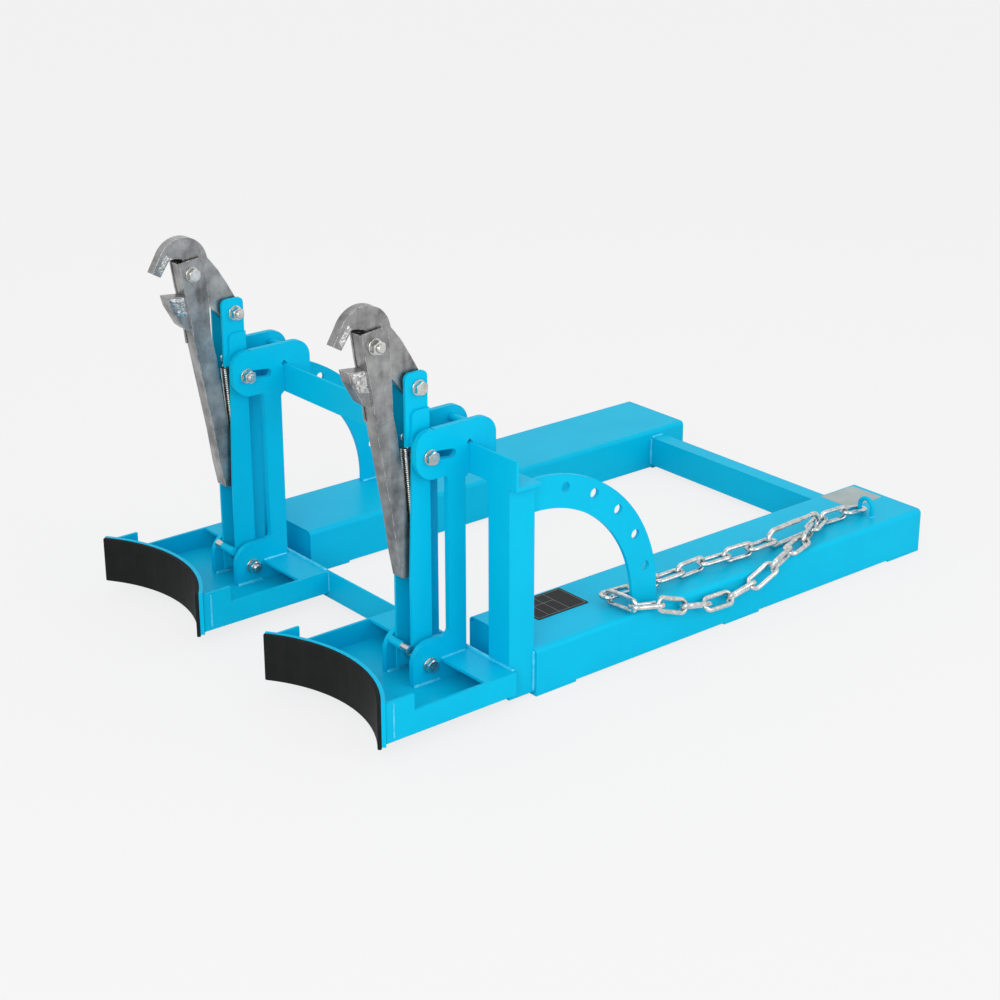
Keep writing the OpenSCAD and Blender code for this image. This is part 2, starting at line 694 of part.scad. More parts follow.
spring_path = concat(
  [for (p = hook_arc(1)) p],
  [[0, 4, 12], [coil_r * 0.6, 2, 17]],
  helix,
  [[coil_r * 0.6, -2, spring_span - 17], [0, -4, spring_span - 12]],
  [for (p = hook_arc(-1)) [p[0], -p[1], spring_span + p[2]]]);

function unit_of(v) = v / norm(v);

// Tube swept along a path with a frame that never twists
module tube(path, r, sides) {
  n = len(path);
  dirs = [for (i = [0 : n - 1]) unit_of(path[min(i + 1, n - 1)] - path[max(i - 1, 0)])];
  first = unit_of(cross(dirs[0], [1, 0.1, 0.3]));
  ups = [for (i = 0, u = first; i < n; i = i + 1, u = i < n ? carry(u, dirs[i]) : u) u];
  rings = [for (i = [0 : n - 1]) for (k = [0 : sides - 1])
    path[i] + r * (cos(360 * k / sides) * ups[i] + sin(360 * k / sides) * cross(dirs[i], ups[i]))];
  walls = [for (i = [0 : n - 2]) for (k = [0 : sides - 1]) for (f = wall(i * sides, k, sides)) f];
  caps = [[for (k = [0 : sides - 1]) k], [for (k = [0 : sides - 1]) n * sides - 1 - k]];
  polyhedron(rings, concat(walls, caps), convexity = 10);
}

function carry(u, d) = unit_of(u - d * (u * d));
function wall(b, k, m) = [[b + k, b + m + k, b + (k + 1) % m], [b + (k + 1) % m, b + m + k, b + m + (k + 1) % m]];

// Oval ring of round bar in the X-Y plane, its long axis along Y
module oval(inner, width, d) {
  r = d / 2;
  bend = width / 2 - r;
  run = inner / 2 - bend + r;
  for (s = [-1, 1]) {
    translate([s * bend, -run, 0]) rotate([-90, 0, 0]) cylinder(h = 2 * run, r = r);
    translate([0, s * run, 0]) rotate(s > 0 ? 0 : 180) rotate_extrude(angle = 180) translate([bend, 0]) circle(r);
  }
}

eye_bend = 17;

module chain_eye() color(blue) placed() translate([eye_x, eye_y, sleeve_top]) {
  for (s = [-1, 1]) translate([s * eye_bend, 0, 0]) cylinder(h = eye_h - eye_bend + eps, d = eye_d);
  translate([0, 0, eye_h - eye_bend]) rotate([90, 0, 0]) rotate_extrude(angle = 180)
    translate([eye_bend, 0]) circle(d = eye_d);
}

module data_plate() color(black) placed()
  translate([sleeve_out - sleeve_w + label_side, label_front, sleeve_top]) cube([label_w, label_len, 1]);

module blank_label() color("silver") placed()
  translate([sleeve_out - sleeve_w + blank_inset, sleeve_len - blank_len - blank_inset, sleeve_top])
    cube([blank_w, blank_len, 0.6]);

// One row per link: heading, climb, roll, and whether the link before it turns in this link's bend
chain_turns = [[-82, 9, 0, 1], [-94, 0, 90, 0], [-66, 0, 0, 1], [-62, 0, 86, 0], [-75, -2, -13, 1],
  [-77, -10, 69, 0], [-88, -20, -31, 0], [-90, -10, 48, 0], [-90, 2, -51, 0], [-90, 12, 29, 0],
  [-94, 19, -70, 0], [-96, 10, 10, 0], [186, 0, 90, 0], [84, 0, 0, 1], [88, 0, 85, 0], [90, 0, -5, 1],
  [92, 0, 85, 0], [86, 0, -5, 0], [86, 0, 85, 0], [90, 0, -5, 0]];
link_count = len(chain_turns);
link_far = (link_in + link_d) / 2;
link_near = link_far - link_d - link_play;
chain_start = [eye_x - eye_bend, eye_y, sleeve_top + eye_d / 2 + link_r];
chain_stops = [for (i = [0 : link_count]) chain_stop(i)];

function chain_stop(i) = i == 0 ? chain_start : chain_stop(i - 1) + (lead(i - 1) + tail(i - 1)) * way(i - 1);
function way(i) = [cos(chain_turns[i][0]) * cos(chain_turns[i][1]),
  sin(chain_turns[i][0]) * cos(chain_turns[i][1]), sin(chain_turns[i][1])];
function lead(i) = chain_turns[i][3] == 1 ? link_near : link_far;
function tail(i) = i + 1 < link_count && chain_turns[i + 1][3] == 1 ? link_far : link_near;

// Turns a shape that lies along Y to a heading, a climb and a roll
module aim(p, turn) translate(p) rotate([0, 0, turn[0] - 90]) rotate([turn[1], 0, 0])
  rotate([0, turn[2], 0]) children();

module chain_links() color(zinc) placed() for (i = [0 : link_count - 1])
  aim(chain_stops[i] + lead(i) * way(i), chain_turns[i]) oval(link_in, link_w, link_d);

// Snap hook: it holds the chain's last link and hooks back into the third one
hook_turn = [94, 0, 85];
hook_r = hook_d / 2;
snap_bend = hook_w / 2 - hook_r;
hook_far = (hook_in + hook_d) / 2;
hook_grip = 4;
hook_end = chain_stops[link_count] + (hook_far - hook_grip) * [cos(hook_turn[0]), sin(hook_turn[0]), 0];
hook_at = [hook_end[0], hook_end[1], sleeve_top + snap_bend * sin(hook_turn[2]) + hook_r + lie_gap];
gate_y = hook_far - hook_r - snap_bend - 2;
gate_pivot = gate_y - gate_len + hook_r;
gate_start = gate_pivot + hook_r + 1.7;
gate_r = hook_r - 1.2;
gate_nose_gap = 0.8;
tongue_t = 5;
tongue_r = hook_r - 1;
gate_pin_r = 1.8;

module snap_hook() color(zinc) placed() aim(hook_at, hook_turn) {
  difference() {
    oval(hook_in, hook_w, hook_d);
    translate([-hook_w / 2 - 1, gate_pivot + hook_r, -hook_d])
      cube([hook_d + 2, gate_len - 2 * hook_r, 2 * hook_d]);
    translate([-hook_w / 2 - 1, gate_pivot - hook_r, -tongue_t / 2]) cube([hook_d + 2, gate_len, tongue_t]);
  }
  translate([-snap_bend, gate_pivot, 0]) cylinder(h = hook_d + 1, r = gate_pin_r, center = true);
}

module snap_hook_gate() color(zinc) placed() aim(hook_at, hook_turn) translate([-snap_bend, 0, 0]) difference() {
  union() {
    translate([0, gate_start, 0]) rotate([-90, 0, 0])
      cylinder(h = gate_y - gate_nose_gap - gate_start, r = gate_r);
    translate([0, gate_pivot, 0]) cylinder(h = tongue_t - 2 * side_play, r = tongue_r, center = true);
    translate([-gate_r, gate_pivot, -tongue_t / 2 + side_play])
      cube([2 * gate_r, gate_start - gate_pivot + 1, tongue_t - 2 * side_play]);
  }
  translate([0, gate_pivot, 0]) cylinder(h = hook_d, r = gate_pin_r + run_fit, center = true);
}

// The least gap between two parts of one spring's wire that aren't neighbours, and places for the record
spring_gap = min([for (i = [0 : len(spring_path) - 7]) for (j = [i + 6 : len(spring_path) - 1])
  norm(spring_path[i] - spring_path[j])]) - wire_d;
echo(spring_gap = spring_gap, spring_curls = 2 * spring_curls, coil_pitch = coil_pitch);

fork_sleeve(1);  // fork_sleeve_left
fork_sleeve(-1);  // fork_sleeve_right
sleeve_straps();
sleeve_end_plates();
rear_cross_tube();
front_cross_angle();
top_cross_angle();
mast(1);  // mast_left
mast(-1);  // mast_right
arc_plate(1);  // arc_plate_left
arc_plate(-1);  // arc_plate_right
front_beam(1);  // front_beam_left
front_beam(-1);  // front_beam_right
beam_covers();
saddle_plate(1);  // saddle_plate_left
saddle_plate(-1);  // saddle_plate_right
saddle_pad(1);  // saddle_pad_left
saddle_pad(-1);  // saddle_pad_right
carriage_plates(1);  // carriage_plates_left
carriage_plates(-1);  // carriage_plates_right
keeper_bars();
foot_bolts();
foot_nuts();
foot_spacers();
post(1);  // post_left
post(-1);  // post_right
foot_pin(1);  // foot_pin_left
foot_pin(-1);  // foot_pin_right
head_bracket(1);  // head_bracket_left
head_bracket(-1);  // head_bracket_right
tilt_bolt(1);  // tilt_bolt_left
tilt_bolt(-1);  // tilt_bolt_right
tilt_nut(1);  // tilt_nut_left
tilt_nut(-1);  // tilt_nut_right
beak_bolt(1);  // beak_bolt_left
beak_bolt(-1);  // beak_bolt_right
beak_nut(1);  // beak_nut_left
beak_nut(-1);  // beak_nut_right
beak(1);  // beak_left
beak(-1);  // beak_right
jaw(1);  // jaw_left
jaw(-1);  // jaw_right
jaw_cheeks(1);  // jaw_cheeks_left
jaw_cheeks(-1);  // jaw_cheeks_right
jaw_tooth(1);  // jaw_tooth_left
jaw_tooth(-1);  // jaw_tooth_right
jaw_bolt(1);  // jaw_bolt_left
jaw_bolt(-1);  // jaw_bolt_right
jaw_nut(1);  // jaw_nut_left
jaw_nut(-1);  // jaw_nut_right
return_spring(1);  // return_spring_left
return_spring(-1);  // return_spring_right
chain_eye();
chain_links();
snap_hook();
snap_hook_gate();
data_plate();
blank_label();
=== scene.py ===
"""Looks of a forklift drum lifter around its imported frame: finishes, welds, fasteners, springs and plates."""

import json
import logging
import math
from dataclasses import dataclass, field
from enum import Enum
from typing import ClassVar, Sequence

import bpy
import numpy as np
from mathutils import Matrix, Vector


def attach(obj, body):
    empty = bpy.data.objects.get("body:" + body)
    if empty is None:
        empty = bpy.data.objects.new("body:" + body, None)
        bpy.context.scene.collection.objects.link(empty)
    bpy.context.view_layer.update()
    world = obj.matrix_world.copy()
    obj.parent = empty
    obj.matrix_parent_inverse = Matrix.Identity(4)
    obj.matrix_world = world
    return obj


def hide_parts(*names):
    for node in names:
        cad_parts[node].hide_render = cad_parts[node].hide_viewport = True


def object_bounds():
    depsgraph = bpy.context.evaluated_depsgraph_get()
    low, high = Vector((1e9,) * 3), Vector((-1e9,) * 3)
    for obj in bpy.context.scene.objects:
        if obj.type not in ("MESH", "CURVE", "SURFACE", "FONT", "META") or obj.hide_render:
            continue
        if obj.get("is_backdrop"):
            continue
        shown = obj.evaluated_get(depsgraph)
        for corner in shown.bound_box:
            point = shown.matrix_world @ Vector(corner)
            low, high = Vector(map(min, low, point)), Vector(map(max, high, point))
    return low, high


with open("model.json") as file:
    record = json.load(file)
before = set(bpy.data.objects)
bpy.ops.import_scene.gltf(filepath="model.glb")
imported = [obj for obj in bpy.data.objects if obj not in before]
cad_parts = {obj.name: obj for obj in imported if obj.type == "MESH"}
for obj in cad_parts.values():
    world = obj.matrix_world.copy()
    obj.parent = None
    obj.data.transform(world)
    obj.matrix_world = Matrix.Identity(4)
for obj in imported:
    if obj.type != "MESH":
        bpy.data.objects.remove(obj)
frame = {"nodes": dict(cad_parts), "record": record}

LOG = logging.getLogger("drum_lifter")
MM = 0.001
MID_Y = 361.597
UNIT_X = 300.0
DRUM_Y = -614.0
BEAK_PIVOT = (-154.0, 608.0)
JAW_PIVOT = (-246.0, 702.0)
BEVEL_SAMPLES = 6

Material = bpy.types.Material
Node, Socket, Tree = bpy.types.Node, bpy.types.NodeSocket, bpy.types.NodeTree
Pair, Point = tuple[float, float], tuple[float, float, float]


class Side(Enum):
    """The two sides of the lifter; left is +X."""

    LEFT = 1
    RIGHT = -1

    @property
    def word(self) -> str:
        """The side's name as the CAD nodes spell it."""
        return self.name.lower()


class Body(Enum):
    """Moving bodies that new pieces ride on, before a side's name is added."""

    POST = "post"
    BEAK = "beak"
    JAW = "jaw"

    def on(self, side: Side) -> str:
        """The body's name on one side."""
        return f"{self.value}_{side.word}"


# Surfaces


@dataclass
class Shell:
    """A closed surface: its points in millimetres and its faces as triples of point numbers."""

    points: np.ndarray
    faces: np.ndarray

    def outward(self) -> "Shell":
        """The same shell with its faces turned outwards, judged by the sign of its volume."""
        a, b, c = (self.points[self.faces[:, i]] for i in range(3))
        volume = float(np.einsum("ij,ij->i", a, np.cross(b, c)).sum())
        return Shell(self.points, self.faces[:, ::-1] if volume < 0 else self.faces)

    def mirrored(self, side: Side) -> "Shell":
        """The shell mirrored in X for the right side, and unchanged for the left."""
        return Shell(self.points * np.array([side.value, 1.0, 1.0]), self.faces).outward()

    def moved(self, x: float, y: float, z: float) -> "Shell":
        """The shell shifted by x, y and z millimetres."""
        return Shell(self.points + np.array([x, y, z]), self.faces)

    def at_unit(self, side: Side) -> "Shell":
        """The shell, laid out for one gripper unit, at that unit's place on its side."""
        return self.mirrored(side).moved(side.value * UNIT_X, 0, 0)


def quads(a: np.ndarray, b: np.ndarray, c: np.ndarray, d: np.ndarray) -> np.ndarray:
    """Two triangles for each quad a, b, c, d of point numbers."""
    return np.concatenate([np.stack([a, b, c], -1).reshape(-1, 3), np.stack([a, c, d], -1).reshape(-1, 3)])


def capped_tube(rows: np.ndarray) -> Shell:
    """Joins rows of loops into a tube and closes both ends with a fan.

    Each face joins neighbouring points of two neighbouring loops; each end's fan meets the mean of its loop.

    Args:
        rows: points with the shape (rows, points in a loop, 3).

    Returns:
        The closed shell.
    """
    count, sides = rows.shape[:2]
    v, u = np.meshgrid(np.arange(count - 1), np.arange(sides), indexing="ij")
    a, b = v * sides + u, v * sides + (u + 1) % sides
    walls = quads(a, b, b + sides, a + sides)
    k = np.arange(sides)
    first, last = count * sides, count * sides + 1
    low = np.stack([np.full(sides, first), (k + 1) % sides, k], -1)
    base = (count - 1) * sides
    high = np.stack([np.full(sides, last), base + k, base + (k + 1) % sides], -1)
    points = np.concatenate([rows.reshape(-1, 3), rows[:1].mean(1), rows[-1:].mean(1)])
    return Shell(points, np.concatenate([walls, low, high])).outward()


def closed_ring(rows: np.ndarray) -> Shell:
    """Joins rows of loops into a ring, the last row to the first.

    Args:
        rows: points with the shape (rows, points in a loop, 3).

    Returns:
        The closed shell.
    """
    count, sides = rows.shape[:2]
    v, u = np.meshgrid(np.arange(count), np.arange(sides), indexing="ij")
    a, b = v * sides + u, v * sides + (u + 1) % sides
    c, d = ((v + 1) % count) * sides + (u + 1) % sides, ((v + 1) % count) * sides + u
    return Shell(rows.reshape(-1, 3), quads(a, b, c, d)).outward()


def around_x(x: np.ndarray, radius: np.ndarray, y: float, z: float) -> np.ndarray:
    """Places a radius that depends on the angle around an axis along X.

    The angle starts at +Y. Point = (x, y + radius cos angle, z + radius sin angle).

    Args:
        x: one position for each row.
        radius: one radius for each row and angle.
        y: the axis's Y.
        z: the axis's Z.

    Returns:
        Points with the shape (rows, angles, 3).
    """
    angle = np.linspace(0, 2 * math.pi, radius.shape[1], endpoint=False)
    xs = np.broadcast_to(x[:, None], radius.shape)
    return np.stack([xs, y + radius * np.cos(angle), z + radius * np.sin(angle)], -1)


def swept(path: np.ndarray, normal: np.ndarray, radius: np.ndarray) -> np.ndarray:
    """Carries a round section along a path.

    The section stands square to the path's tangent.
    Its first direction is the part of the normal that is square to that tangent.

    Args:
        path: the centre line, one point a row.
        normal: a direction for each point that is never along the path.
        radius: one radius for each point and angle.

    Returns:
        Points with the shape (rows, angles, 3).
    """
    tangent = np.gradient(path, axis=0)
    tangent /= np.linalg.norm(tangent, axis=1, keepdims=True)
    first = normal - tangent * np.einsum("ij,ij->i", normal, tangent)[:, None]
    first /= np.linalg.norm(first, axis=1, keepdims=True)
    second = np.cross(tangent, first)
    angle = np.linspace(0, 2 * math.pi, radius.shape[1], endpoint=False)
    ring = np.cos(angle)[None, :, None] * first[:, None] + np.sin(angle)[None, :, None] * second[:, None]
    return path[:, None] + radius[..., None] * ring


def rounded_rectangle(width: float, height: float, r: float, steps: int = 5) -> np.ndarray:
    """Outline of a rectangle with round corners, centred on the origin.

    Each corner is a quarter circle of radius r around its own centre.

    Args:
        width: size along the first axis.
        height: size along the second axis.
        r: corner radius.
        steps: steps in each corner.

    Returns:
        Points with the shape (points, 2).
    """
    turn = np.linspace(0, math.pi / 2, steps + 1)
    parts = []
    for sx, sy, half_turns in ((1, 1, 0.0), (-1, 1, 0.5), (-1, -1, 1.0), (1, -1, 1.5)):
        angle = turn + half_turns * math.pi
        along = sx * (width / 2 - r) + r * np.cos(angle)
        across = sy * (height / 2 - r) + r * np.sin(angle)
        parts.append(np.stack([along, across], -1))
    return np.concatenate(parts)


def make_piece(
    name: str, shells: Sequence[Shell], material: Material, smooth: float, body: str = "frame"
) -> bpy.types.Object:
    """Makes one object from closed shells, with its place in its mesh, and lets it ride on a body.

    Args:
        name: the object's name.
        shells: its closed shells, in millimetres of the assembly's own layout.
        material: its finish.
        smooth: angle in degrees under which an edge is shaded smooth.
        body: the body that it rides on.

    Returns:
        The new object.
    """
    starts = np.cumsum([0] + [len(s.points) for s in shells[:-1]])
    points = (np.concatenate([s.points for s in shells]) - np.array([0.0, MID_Y, 0.0])) * MM
    faces = np.concatenate([s.faces + n for s, n in zip(shells, starts)]).astype(np.int32)
    mesh = bpy.data.meshes.new(name)
    mesh.vertices.add(len(points))
    mesh.vertices.foreach_set("co", points.astype(np.float32).ravel())
    mesh.loops.add(faces.size)
    mesh.loops.foreach_set("vertex_index", faces.ravel())
    mesh.polygons.add(len(faces))
    mesh.polygons.foreach_set("loop_start", np.arange(0, faces.size, 3, dtype=np.int32))
    mesh.update(calc_edges=True)
    mesh.validate()
    mesh.shade_smooth()
    mesh.set_sharp_from_angle(angle=math.radians(smooth))
    mesh.materials.append(material)
    piece = bpy.data.objects.new(name, mesh)
    bpy.context.scene.collection.objects.link(piece)
    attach(piece, body)
    LOG.info("piece %s: %d faces on %s", name, len(faces), body)
    return piece


# Shader graphs


class Graph:
    """A thin typed layer over a node tree."""

    def __init__(self, tree: Tree) -> None:
        """Keeps the tree and empties it."""
        self.tree = tree
        tree.nodes.clear()

    def add(self, kind: str, **values: object) -> Node:
        """Adds a node and sets its properties and sockets.

        Args:
            kind: the node's type name.
            values: properties by name, and sockets by name with an underscore for a space.

        Returns:
            The node.
        """
        node = self.tree.nodes.new(kind)
        for key, value in values.items():
            if hasattr(node, key):
                setattr(node, key, value)
            else:
                node.inputs[key.replace("_", " ")].default_value = value
        return node

    def link(self, source: Socket, target: Socket) -> None:
        """Joins two sockets."""
        self.tree.links.new(source, target)

    def math(self, operation: str, a: object, b: object = None, clamp: bool = False) -> Socket:
        """Adds a Math node; a and b are sockets or numbers.

        Args:
            operation: the Math node's operation.
            a: first value.
            b: second value.
            clamp: whether the result is held between 0 and 1.

        Returns:
            The result's socket.
        """
        node = self.add("ShaderNodeMath", operation=operation, use_clamp=clamp)
        for index, value in enumerate((a, b)):
            if isinstance(value, Socket):
                self.link(value, node.inputs[index])
            elif value is not None:
                node.inputs[index].default_value = value
        return node.outputs[0]

    def blend(self, share: Socket, a: object, b: object) -> Socket:
        """Mixes two colours, each a socket or four numbers, by a share.

        Args:
            share: 0 gives a and 1 gives b.
            a: first colour.
            b: second colour.

        Returns:
            The mixed colour's socket.
        """
        node = self.add("ShaderNodeMix", data_type="RGBA")
        self.link(share, node.inputs[0])
        for socket, value in ((node.inputs[6], a), (node.inputs[7], b)):
            if isinstance(value, Socket):
                self.link(value, socket)
            else:
                socket.default_value = value
        return node.outputs[2]

    def ramp(
        self, value: Socket, low: float, high: float, to_low: float = 0.0, to_high: float = 1.0
    ) -> Socket:
        """Maps a value from one range to another and clamps it.

        Args:
            value: the value's socket.
            low: start of the range that is read.
            high: end of the range that is read.
            to_low: result at low.
            to_high: result at high.

        Returns:
            The mapped value's socket.
        """
        node = self.add("ShaderNodeMapRange", clamp=True)
        self.link(value, node.inputs[0])
        for index, number in enumerate((low, high, to_low, to_high), start=1):
            node.inputs[index].default_value = number
        return node.outputs[0]

    def noise(self, scale: Socket, stretch: Point = (1.0, 1.0, 1.0), **values: float) -> Socket:
        """Adds noise on object coordinates.

        Args:
            scale: the noise's scale.
            stretch: factor on each coordinate; a small one draws the noise out along it.
            values: the noise's other sockets by name.

        Returns:
            The noise's socket.
        """
        place = self.add("ShaderNodeTexCoord").outputs["Object"]
        if stretch != (1.0, 1.0, 1.0):
            turn = self.add("ShaderNodeMapping", Scale=stretch)
            self.link(place, turn.inputs["Vector"])
            place = turn.outputs[0]
        noise = self.add("ShaderNodeTexNoise", **values)
        self.link(place, noise.inputs["Vector"])
        self.link(scale, noise.inputs["Scale"])
        return noise.outputs[0]


def new_group(
    name: str, inputs: Sequence[tuple[str, float]], outputs: Sequence[str]
) -> tuple[Tree, Graph, Node, Node]:
    """Makes an empty shader group with named float sockets.

    Args:
        name: the group's name.
        inputs: name and default of each input.
        outputs: names of the outputs.

    Returns:
        The tree, its graph, and its input and output nodes.
    """
    tree = bpy.data.node_groups.new(name, "ShaderNodeTree")
    for label, value in inputs:
        socket = tree.interface.new_socket(label, in_out="INPUT", socket_type="NodeSocketFloat")
        socket.default_value = value
    for label in outputs:
        tree.interface.new_socket(label, in_out="OUTPUT", socket_type="NodeSocketFloat")
    graph = Graph(tree)
    return tree, graph, graph.add("NodeGroupInput"), graph.add("NodeGroupOutput")


class Effects:
    """Shader groups that several finishes share, with the ranges of noise and of slope that they read."""

    edge_breakup = (0.42, 0.62)
    bend_gain = 6.0
    upward = (0.5, 1.0)
    patches = (0.4, 0.75)
    streaks = (0.45, 0.7)
    streak_stretch = (1.0, 1.0, 0.06)

    def __init__(self) -> None:
        """Builds each group once."""
        self.grain = self._grain()
        self.edge = self._edge()
        self.dust = self._dust()
        self.runs = self._runs()

    def _grain(self) -> Tree:
        """Noise on object coordinates: a broad mottle and a fine grain."""
        inputs = [("Broad", 14.0), ("Fine", 300.0)]
        tree, g, given, result = new_group("surface_grain", inputs, ["Mottle", "Grain"])
        for label, shown, detail in (("Broad", "Mottle", 4.0), ("Fine", "Grain", 6.0)):
            noise = g.noise(given.outputs[label], Detail=detail, Roughness=0.6)
            g.link(noise, result.inputs[shown])
        return tree

    def _edge(self) -> Tree:
        """Wear along edges, and on dark zinc and the weld paint a painted highlight there: where the bevelled
        normal leaves the true one, broken up by noise.
        """
        inputs = [("Width", 0.0015), ("Amount", 1.0), ("Break", 90.0)]
        tree, g, given, result = new_group("edge_wear", inputs, ["Mask"])
        bevel = g.add("ShaderNodeBevel", samples=BEVEL_SAMPLES)
        g.link(given.outputs["Width"], bevel.inputs["Radius"])
        true = g.add("ShaderNodeNewGeometry")
        dot = g.add("ShaderNodeVectorMath", operation="DOT_PRODUCT")
        g.link(bevel.outputs[0], dot.inputs[0])
        g.link(true.outputs["Normal"], dot.inputs[1])
        bend = g.math("SUBTRACT", 1.0, dot.outputs["Value"])
        broken = g.ramp(g.noise(given.outputs["Break"], Detail=5.0), *self.edge_breakup)
        worn_and_highlight = g.math("MULTIPLY", g.math("MULTIPLY", bend, self.bend_gain), broken)
        g.link(g.math("MULTIPLY", worn_and_highlight, given.outputs["Amount"], clamp=True), result.inputs["Mask"])
        return tree

    def _dust(self) -> Tree:
        """Dust on faces that look up, in soft patches."""
        tree, g, given, result = new_group("settled_dust", [("Amount", 0.2), ("Patch", 9.0)], ["Mask"])
        true = g.add("ShaderNodeNewGeometry")
        split = g.add("ShaderNodeSeparateXYZ")
        g.link(true.outputs["Normal"], split.inputs[0])
        up = g.ramp(split.outputs["Z"], *self.upward)
        patch = g.ramp(g.noise(given.outputs["Patch"], Detail=6.0), *self.patches)
        settled = g.math("MULTIPLY", g.math("MULTIPLY", up, patch), given.outputs["Amount"])
        g.link(settled, result.inputs["Mask"])
        return tree

    def _runs(self) -> Tree:
        """Upright streaks: noise that is stretched along Z; runs on paint and rubber, a painted highlight on
        dark zinc.
        """
        tree, g, given, result = new_group("upright_streaks", [("Across", 70.0)], ["Mask"])
        noise = g.noise(given.outputs["Across"], self.streak_stretch, Detail=3.0)
        g.link(g.ramp(noise, *self.streaks), result.inputs["Mask"])
        return tree


# Finishes


@dataclass(frozen=True)
class Finish:
    """What every finish shares: colours, roughness, and the scale and depth of its grain and edges.

    Deep is the colour in the mottle's hollows; the worn colour is that of edges and streaks, wear on most
    finishes and a painted highlight on dark zinc and the weld paint. Broad and fine are the noise's scales, and
    the radius of softened edges and the bump's depth are in millimetres.
    """

    name: str
    colour: Point
    deep: Point
    worn_and_highlight: Point
    rough: Pair
    round_mm: float
    broad: float
    fine: float
    bump: float
    bump_mm: float
    edge: float
    metal: float = 0.0
    coat: float = 0.0
    dust: float = 0.0
    streak: float = 0.0
    specular: float = 0.5
    coat_rough: ClassVar[float] = 0.12
    noise_range: ClassVar[Pair] = (0.3, 0.7)
    dust_colour: ClassVar[tuple[float, ...]] = (0.62, 0.60, 0.56, 1.0)
    dust_rough: ClassVar[float] = 0.6
    mottle_height: ClassVar[float] = 1.5

    def build(self, effects: Effects) -> Material:
        """Builds the material: mottled colour, edges and streaks in the colour of wear and painted highlight,
        dust, and a bump over softened edges.

        Args:
            effects: the shared shader groups.

        Returns:
            The material.
        """
        material = bpy.data.materials.new(self.name)
        material.use_nodes = True
        g = Graph(material.node_tree)
        shader = g.add("ShaderNodeBsdfPrincipled", Metallic=self.metal, Coat_Weight=self.coat)
        shader.inputs["Coat Roughness"].default_value = self.coat_rough
        shader.inputs["Specular IOR Level"].default_value = self.specular
        grain = g.add("ShaderNodeGroup", node_tree=effects.grain, Broad=self.broad, Fine=self.fine)
        width = 2 * self.round_mm * MM
        edge = g.add("ShaderNodeGroup", node_tree=effects.edge, Width=width, Amount=self.edge)
        dust = g.add("ShaderNodeGroup", node_tree=effects.dust, Amount=self.dust)
        runs = g.add("ShaderNodeGroup", node_tree=effects.runs)
        mottle = g.ramp(grain.outputs["Mottle"], *self.noise_range)
        worn_and_highlight = (*self.worn_and_highlight, 1.0)
        colour = g.blend(mottle, (*self.deep, 1.0), (*self.colour, 1.0))
        # Streaks and edges take the worn colour, which is wear on most finishes and a painted highlight on dark
        # zinc and the weld paint.
        colour = g.blend(g.math("MULTIPLY", runs.outputs[0], self.streak), colour, worn_and_highlight)
        colour = g.blend(edge.outputs[0], colour, worn_and_highlight)
        colour = g.blend(dust.outputs[0], colour, self.dust_colour)
        g.link(colour, shader.inputs["Base Color"])
        rough = g.ramp(grain.outputs["Grain"], *self.noise_range, *self.rough)
        rough = g.math("ADD", rough, g.math("MULTIPLY", dust.outputs[0], self.dust_rough), clamp=True)
        g.link(rough, shader.inputs["Roughness"])
        soft = g.add("ShaderNodeBevel", samples=BEVEL_SAMPLES, Radius=self.round_mm * MM)
        hills = g.math("MULTIPLY", grain.outputs["Mottle"], self.mottle_height)
        height = g.math("ADD", grain.outputs["Grain"], hills)
        bump = g.add("ShaderNodeBump", Strength=self.bump, Distance=self.bump_mm * MM)
        g.link(height, bump.inputs["Height"])
        g.link(soft.outputs[0], bump.inputs["Normal"])
        g.link(bump.outputs[0], shader.inputs["Normal"])
        out = g.add("ShaderNodeOutputMaterial")
        g.link(shader.outputs[0], out.inputs[0])
        return material


